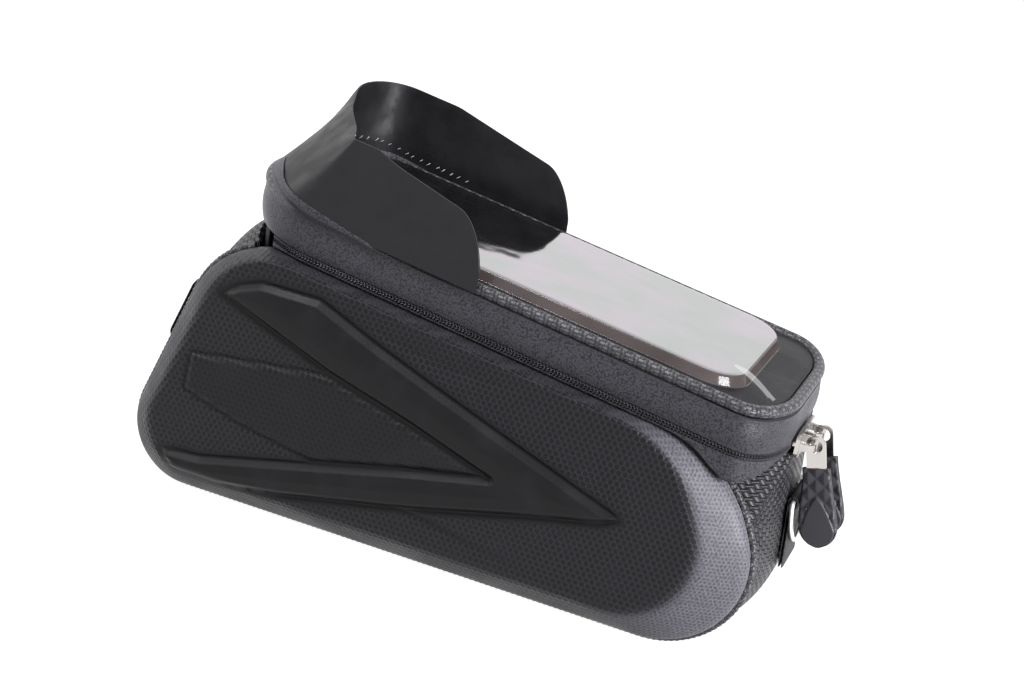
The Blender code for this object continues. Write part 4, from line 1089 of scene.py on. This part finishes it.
def visor():
    """A bent plastic sheet that stands round the front of the window, sewn on over the rim piping."""
    corner = -LID_LENGTH + LID_FRONT_CORNER[0]
    share = (np.arange(VISOR_STEPS) / VISOR_STEPS) ** 1.7
    ends = VISOR_REAR + (corner - VISOR_REAR) * share
    front = [i for i in range(len(RIM_PLAN)) if RIM_PLAN[i, 0] < corner + GAP]
    front.sort(key=lambda i: RIM_PLAN[i, 1])
    near = np.column_stack([ends, np.full(len(ends), -LID_HALF)])
    far = near[::-1] * (1, -1)
    points = np.vstack([near, RIM_PLAN[front], far])
    normals = np.vstack([
        np.tile((0.0, -1.0), (len(near), 1)), RIM_NORMALS[front], np.tile((0.0, 1.0), (len(far), 1)),
    ])
    shares = np.linspace(0, 1, 17)
    outer, inner = [], []
    for height in shares:
        level = np.full(len(points), height)
        middle, w, _, _ = visor_middle(points, normals, level)
        thick = VISOR_THICKNESS * (0.5 if height < 1 else 0.3)
        for row, side in ((outer, 1), (inner, -1)):
            p = middle + normals * thick * side
            row.append(lid_points(p[:, 0], p[:, 1], w))
    grid = np.array(outer + inner[::-1]).transpose(1, 0, 2)
    return grid_piece("visor_hood", grid, VISOR, "lid", ["visor"], caps=True)


def band_grid(section, stations):
    """Points of a band round the rim from insets and heights, arrays of (stations, section)."""
    inset, w = section
    p = RIM_PLAN[stations][:, None] - RIM_NORMALS[stations][:, None] * inset[..., None]
    return lid_points(p[..., 0], p[..., 1], w)


def same_section(corners, count):
    """A section that is the same at each station."""
    corners = np.array(corners)
    shape = (count, len(corners))
    return np.broadcast_to(corners[:, 0], shape), np.broadcast_to(corners[:, 1], shape)


def soft_box(inset, depth, low, high):
    """A rectangle of insets and heights with its corners cut a little."""
    far = inset + depth
    roll = BOX_ROLL
    return (
        (inset, high - roll), (inset, low + roll), (inset + roll, low), (far - roll, low),
        (far, low + roll), (far, high - roll), (far - roll, high), (inset + roll, high),
    )


def fold_height():
    """How high the band climbs the visor at each station of the rim."""
    u, v = RIM_PLAN[:, 0], np.abs(RIM_PLAN[:, 1])
    climb = np.clip((FOLD_START - u) / FOLD_LENGTH, 0, 1) ** 1.5
    return FOLD_HEIGHT * climb * smooth((v - FOLD_INNER_Y) / FOLD_SPREAD)


def lid_wall():
    """The soft side wall of the lid, a little bowed, which climbs the visor at the two front corners."""
    count = len(RIM_PLAN)
    height = LID_WALL_TOP - LID_WALL_BOTTOM
    down = np.linspace(0, 1, 15)
    bow = LID_WALL_BULGE * np.abs(2 * np.clip(down, 0.15, 1) - 1.0) ** 2
    outer = list(zip(bow, LID_WALL_TOP - down * height))
    inner = [(inset + LID_WALL, w) for inset, w in reversed(outer[::2])]
    inset, w = (part.copy() for part in same_section(outer + inner, count))
    climb = fold_height()
    _, _, base_w, top = visor_middle(RIM_PLAN, RIM_NORMALS, np.zeros(count))
    share = np.clip((climb - base_w) / (top - base_w), 0, 1)
    touch, touch_w, _, _ = visor_middle(RIM_PLAN, RIM_NORMALS, share)
    touch_inset = -np.sum((touch - RIM_PLAN) * RIM_NORMALS, axis=1) - VISOR_THICKNESS / 2 - GAP / 2
    reach = smooth(climb / LIP_EASE)
    lip_inset, lip_w = [], []
    for step in np.linspace(1, 0, 9)[:-1]:
        bulge = LIP_BULGE * math.sin(math.pi * step) * reach
        lip_inset.append(outer[0][0] + (touch_inset - outer[0][0]) * step * reach - bulge)
        lip_w.append(LID_WALL_TOP + (touch_w - LID_WALL_TOP) * step * reach)
    inset = np.hstack([np.array(lip_inset).T, inset])
    w = np.hstack([np.array(lip_w).T, w])
    grid = band_grid((inset, w), np.arange(count))
    return grid_piece("lid_band", grid, COATED, "lid", ["lid_wall"], rows_closed=True)


def lid_rim_piping():
    """The bound edge round the top of the lid."""
    p = RIM_PLAN - RIM_NORMALS * RIM_RADIUS
    path = lid_points(p[:, 0], p[:, 1], RIM_W)
    travel = lengths(path, True)
    even = np.linspace(0, travel[-1], int(travel[-1] / RIM_STEP), endpoint=False)
    path = resampled(np.vstack([path, path[:1]]), travel, even)
    grid = tube_grid(path, RIM_RADIUS, 24, True)
    return grid_piece("lid_piping", grid, PIPING, "lid", ["lid_rim_piping"], rows_closed=True,
                      straight=True)


def rim_strip(name, corners, material, body, stands_for, stations=None):
    """A thin band round the rim, or along part of it."""
    whole = stations is None
    if whole:
        stations = np.arange(len(RIM_PLAN))
    grid = band_grid(same_section(corners, len(stations)), stations)
    return grid_piece(name, grid, material, body, stands_for, rows_closed=whole, caps=not whole)


def film_outline(grow):
    """One outline of the raised part of the window, in plan."""
    inset = FILM_INSET + FILM_FLANGE_SIDE - grow
    front = -LID_LENGTH + FILM_INSET + FILM_FLANGE_END - grow
    rear = -(FILM_INSET + FILM_FLANGE_END) + grow
    corner = (FILM_CORNER + grow, FILM_CORNER + grow)
    return lid_plan(front, rear, LID_HALF - inset, corner, corner)


def window_film():
    """The clear window: a flat border and a raised box with rounded edges, one formed sheet."""
    rolled = np.radians(np.linspace(0, 90, 6))
    foot = FILM_BASE + FILM_THICKNESS
    crown = FILM_BASE + FILM_HEIGHT + FILM_THICKNESS
    lip = crown - FILM_ROUND
    edge = RIM_PLAN - RIM_NORMALS * FILM_INSET
    over = [(edge, FILM_BASE), (edge, foot)]
    for a in rolled:
        grow = FILM_ROUND * (1 - math.sin(a)) * 0.5
        over.append((film_outline(grow), foot + FILM_ROUND * 0.5 * (1 - math.cos(a))))
    for a in rolled:
        grow = -FILM_THICKNESS - FILM_ROUND * (1 - math.cos(a))
        over.append((film_outline(grow), lip + FILM_ROUND * math.sin(a)))
    outline = film_outline(-FILM_THICKNESS - FILM_ROUND)
    over += [(ring, crown) for ring in rings_to_line(outline, FILM_MIDDLE, FILM_RINGS)]
    loops = [lid_points(p[:, 0], p[:, 1], w) for p, w in over]
    obj = grid_piece("window_box", np.array(loops), FILM_EDGE, "lid", ["window_film"])
    obj.data.materials.append(FILM_WALL)
    obj.data.materials.append(FILM_TOP)
    limit = LID_Z + crown - GAP
    for face in obj.data.polygons:
        centre = face.center
        u = (centre.x - SHIFT) / math.cos(LID_SLOPE)
        if centre.z + u * math.sin(LID_SLOPE) > limit:
            face.material_index = 2
        elif abs(face.normal.z) < 0.8:
            face.material_index = 1


def phone_panel():
    """The padded floor of the phone pocket, crowned in the middle."""
    inset = LINING_INSET + TAPE_THICKNESS + GAP
    front = [length - inset for length in LID_FRONT_CORNER]
    plan = lid_plan(-LID_LENGTH + inset, -PANEL_REAR, LID_HALF - inset, front, (PANEL_CORNER, PANEL_CORNER))
    middle = np.array((plan[:, 0].mean(), 0.0))
    low, high = -PANEL_DROP - PANEL_THICKNESS, -PANEL_DROP
    roll = PANEL_THICKNESS / 3
    loops = [(middle + (plan - middle) * share, low) for share in np.linspace(0.05, 0.97, 10)]
    rim = middle + (plan - middle) * PANEL_RIM
    loops += [(rim, low + roll / 2), (plan, low + roll), (plan, high - roll), (rim, high - roll / 2)]
    for share in np.linspace(0.97, 0.05, 14):
        aside = (np.abs(plan[:, 1] * share) - CHANNEL_Y) / CHANNEL_WIDTH
        loops.append((middle + (plan - middle) * share, high - CHANNEL_DEPTH * np.exp(-aside ** 2)))
    grid = np.array([lid_points(p[:, 0], p[:, 1], w) for p, w in loops])
    obj = grid_piece("pocket_pad", grid, LINING, "lid", ["phone_pocket_panel"], caps=True)


# Zip

def zip_teeth(name, top, body, stations, stands_for, slant):
    """A row of slanted ribs along the zip."""
    p = RIM_PLAN[stations]
    travel = lengths(p, False)
    even = np.linspace(0, travel[-1], int(travel[-1] / (TEETH_PITCH / 6)))
    plan = resampled(p, travel, even)
    normals = resampled(RIM_NORMALS[stations], travel, even)
    normals /= np.linalg.norm(normals, axis=1)[:, None]
    rows = np.array((0.5, 0.3, -0.3, -0.5)) * TEETH_HEIGHT
    phase = (even[:, None] + slant * rows[None, :]) / TEETH_PITCH
    valley = 0.5 + 0.5 * np.cos(2 * math.pi * phase)
    near = TEETH_OUT + TEETH_RELIEF * valley + 0.0002 * (np.abs(rows) > 0.4 * TEETH_HEIGHT)
    far = np.full((len(even), 2), TEETH_INSET + TEETH_DEPTH)
    inset = np.hstack([near, far])
    heights = top - TEETH_HEIGHT / 2 + np.append(rows, (rows[3], rows[0]))
    w = np.broadcast_to(heights, inset.shape)
    q = plan[:, None] - normals[:, None] * inset[..., None]
    grid = lid_points(q[..., 0], q[..., 1], w)
    return grid_piece(name, grid, TEETH, body, [stands_for], caps=True)


def collar_drop(plan):
    """How far the collar hangs at each station: deep at the corners, where the shells fall away from it."""
    across = np.abs(plan[:, 1]) / LID_HALF
    shares = (0.5 + 0.5 * smooth(2 * across - 0.4), smooth(3.3 * across - 1.65))
    drop = np.zeros(len(plan))
    for depth, place_u, length, share in zip(COLLAR_DROP, COLLAR_DROP_PLACE, COLLAR_DROP_LENGTH, shares):
        drop += depth * share * np.exp(-((plan[:, 0] - place_u) / length) ** 2)
    return drop


def collar(stations):
    """The coated band under the zip."""
    low = LOWER_TAPE_TOP - COLLAR_DEPTH - collar_drop(RIM_PLAN[stations])
    near, far = LID_WALL_BULGE, LID_WALL_BULGE + COLLAR_THICKNESS
    section = [near] * COLLAR_STEPS + [near + COLLAR_ROLL, far - COLLAR_ROLL] + [far] * COLLAR_STEPS
    inset = np.broadcast_to(section, (len(low), len(section)))
    depth = low + COLLAR_ROLL - LOWER_TAPE_TOP
    down = [LOWER_TAPE_TOP + depth * k for k in np.linspace(0, 1, COLLAR_STEPS)]
    w = np.array(down + [low, low] + down[::-1]).T
    grid = band_grid((inset, w), stations)
    return grid_piece("zip_collar", grid, COATED, "bag", ["body_collar"], caps=True)


def zip_pieces():
    """Both tapes, both rows of teeth and the collar that carries the lower row."""
    stations = np.array([i for i, p in enumerate(RIM_PLAN) if p[0] > ZIP_FRONT])
    upper = soft_box(LINING_INSET, TAPE_THICKNESS, LID_WALL_BOTTOM, LID_WALL_BOTTOM + TAPE_UP)
    lower = soft_box(LINING_INSET, TAPE_THICKNESS, LOWER_TAPE_TOP - TAPE_DOWN, LOWER_TAPE_TOP)
    rim_strip("tape_upper", upper, TAPE, "lid", ["upper_zip_tape"], stations)
    rim_strip("tape_lower", lower, TAPE, "bag", ["lower_zip_tape"], stations)
    zip_teeth("teeth_upper", UPPER_TEETH_TOP, "lid", stations, "upper_zip_teeth", TEETH_SLANT)
    zip_teeth("teeth_lower", LOWER_TEETH_TOP, "bag", stations, "lower_zip_teeth", -TEETH_SLANT)
    collar(stations)


def hinge_strip():
    """The fabric inside the front end that the lid turns on. It rides on the bag alone, so the lid parts
    from it as it opens."""
    near = np.arange(-HINGE_STATIONS, HINGE_STATIONS + 1) % len(RIM_PLAN)
    top = LID_WALL_BOTTOM - GAP
    corners = soft_box(LINING_INSET, TAPE_THICKNESS, top - HINGE_STRIP_HEIGHT, top)
    obj = rim_strip("hinge_fabric", corners, TAPE, "bag", ["lid_hinge_strip"], near)


# Pulls

def hung(points, y):
    """Points of a pull, given round its pivot, tilted as it hangs and put in place."""
    c, s = math.cos(PULL_TILT), math.sin(PULL_TILT)
    x, across, z = points[..., 0], points[..., 1], points[..., 2]
    return np.stack([BRIDGE_X + x * c - z * s, y + across, SLIDER_Z + x * s + z * c], axis=-1)


def grip_half_width(share):
    """Half the width of the rubber grip, from 0 at its top to 1 at its bottom."""
    width = GRIP_TOP_HALF + (GRIP_LOW_HALF - GRIP_TOP_HALF) * smooth(1.25 * share)
    tail = np.clip(share - GRIP_TAIL, 0, 1) / (1 - GRIP_TAIL)
    return width * np.sqrt(np.clip(1 - tail ** 2.4, 0.012, 1))


def rubber_grip(name, y):
    """The moulded grip: facets above and a smooth pad below, pointed at its top."""
    share = 0.5 - 0.5 * np.cos(np.linspace(0, math.pi, 111))
    across = np.sin(np.linspace(-math.pi / 2, math.pi / 2, 49))
    half = grip_half_width(share)
    x = half[:, None] * across[None, :]
    z = -GRIP_TOP - (GRIP_BOTTOM - GRIP_TOP) * share[:, None] + 0 * x
    p, q = (x + z) / GRIP_FACET, (x - z) / GRIP_FACET
    facets = 1 - 2 * np.maximum(np.abs(p % 1 - 0.5), np.abs(q % 1 - 0.5))
    down = np.clip((share[:, None] - GRIP_PAD_TOP) / (1 - GRIP_PAD_TOP), 0, 1)
    pad_half = np.minimum(half[:, None] - GRIP_PAD_EDGE, 1.15 * GRIP_LOW_HALF * down ** 0.6)
    pad = smooth((pad_half - np.abs(x)) / GRIP_PAD_EDGE) * (down > 0)
    body = GRIP_THICKNESS / 2 - GRIP_RELIEF
    roll = np.clip((np.abs(across)[None, :] - GRIP_ROLL) / (1 - GRIP_ROLL), 0, 1)
    rim = np.sqrt(1 - roll ** 2 * 0.9)
    face = (body + GRIP_RELIEF * np.where(pad > 0, pad, facets * (1 - pad))) * rim
    front = np.stack([x, -face, z], axis=-1)
    back = np.stack([x, face, z], axis=-1)[:, ::-1]
    grid = hung(np.concatenate([front, back], axis=1), y)
    side = name.rsplit("_", 1)[1]
    return grid_piece("grip_" + side, grid, RUBBER, "pull_" + side, [name], caps=True)


def refinish(node, material):
    """Gives its finish to a CAD node that stays."""
    materials = frame["nodes"][node].data.materials
    materials.clear()
    materials.append(material)


# The bag

for end, sign in (("left", -1), ("right", 1)):
    side_shell("side_shell_" + end, sign)
    seam_piping("seam_piping_" + end, sign)
    pull_y = SLIDER_MIDDLE + sign * SLIDER_SPACING / 2
    rubber_grip("rubber_grip_" + end, pull_y)
    refinish("zip_slider_" + end, STEEL)
    refinish("pull_tab_" + end, STEEL)
gusset()
for keeper, x_middle in zip(("base_keeper_front", "base_keeper_rear"), KEEPER_PLACES):
    slab(keeper, x_middle)
front_strap_loop()
rear_tab()
d_ring()
lid_wall()
lid_rim_piping()
frame_section = soft_box(FILM_INSET, FRAME_WIDTH, FRAME_TOP - FRAME_THICKNESS, FRAME_TOP)
rim_strip("window_border", frame_section, COATED, "lid", ["window_frame"])
window_film()
phone_panel()
visor()
visor_stitches()
zip_pieces()
hinge_strip()
refinish("base_board", BOARD)


# Floor, world and lights

def seen_rays(tree):
    """1 for the rays that show the background: from the camera, off a gloss or through something clear."""
    rays = tree.nodes.new("ShaderNodeLightPath")
    seen = rays.outputs["Is Camera Ray"]
    for kind in ("Is Glossy Ray", "Is Transmission Ray"):
        either = tree.nodes.new("ShaderNodeMath")
        either.operation = "MAXIMUM"
        tree.links.new(seen, either.inputs[0])
        tree.links.new(rays.outputs[kind], either.inputs[1])
        seen = either.outputs[0]
    return seen


def floor():
    """A plain pale floor that keeps the bag's shadow."""
    mesh = bpy.data.meshes.new("floor")
    corners = [(x * FLOOR_HALF, y * FLOOR_HALF, 0) for x, y in ((-1, -1), (1, -1), (1, 1), (-1, 1))]
    mesh.from_pydata(corners, [], [(0, 1, 2, 3)])
    obj = bpy.data.objects.new("floor", mesh)
    shader = Shader("floor", 0.9, specular=0.0)
    tree = shader.tree
    seen = seen_rays(tree)
    shader.set(Base_Color=shader.mix(seen, (0.12, 0.12, 0.13), (0.92, 0.92, 0.92)))
    glow = shader.node("ShaderNodeEmission")
    shader.feed(glow.inputs["Strength"], shader.ramp(seen, 0.0, 1.0, *FLOOR_GLOW))
    blend = shader.node("ShaderNodeMixShader")
    blend.inputs["Fac"].default_value = FLOOR_GLOW_SHARE
    tree.links.new(shader.principled.outputs[0], blend.inputs[1])
    tree.links.new(glow.outputs[0], blend.inputs[2])
    tree.links.new(blend.outputs[0], tree.nodes["Material Output"].inputs["Surface"])
    mesh.materials.append(shader.material)
    bpy.context.scene.collection.objects.link(obj)


def soft_light(name, place, width, height, power, colour):
    """A rectangular soft light that points at the bag."""
    data = bpy.data.lights.new(name, "AREA")
    data.shape = "RECTANGLE"
    data.size = width
    data.size_y = height
    data.energy = power
    data.color = colour
    obj = bpy.data.objects.new(name, data)
    obj.location = place
    obj.rotation_euler = (Vector(LIGHT_AIM) - Vector(place)).to_track_quat("-Z", "Y").to_euler()
    bpy.context.scene.collection.objects.link(obj)


def world():
    """White where it is seen, and dimmer as a light."""
    scene_world = bpy.data.worlds.new("world")
    bpy.context.scene.world = scene_world
    scene_world.use_nodes = True
    tree = scene_world.node_tree
    background = tree.nodes["Background"]
    strength = tree.nodes.new("ShaderNodeMapRange")
    strength.inputs["To Min"].default_value = WORLD_DIM
    strength.inputs["To Max"].default_value = 1.0
    tree.links.new(seen_rays(tree), strength.inputs["Value"])
    tree.links.new(strength.outputs[0], background.inputs["Strength"])
    background.inputs["Color"].default_value = (1.0, 1.0, 1.0, 1.0)


floor()
world()
for light in LIGHTS:
    soft_light(*light)
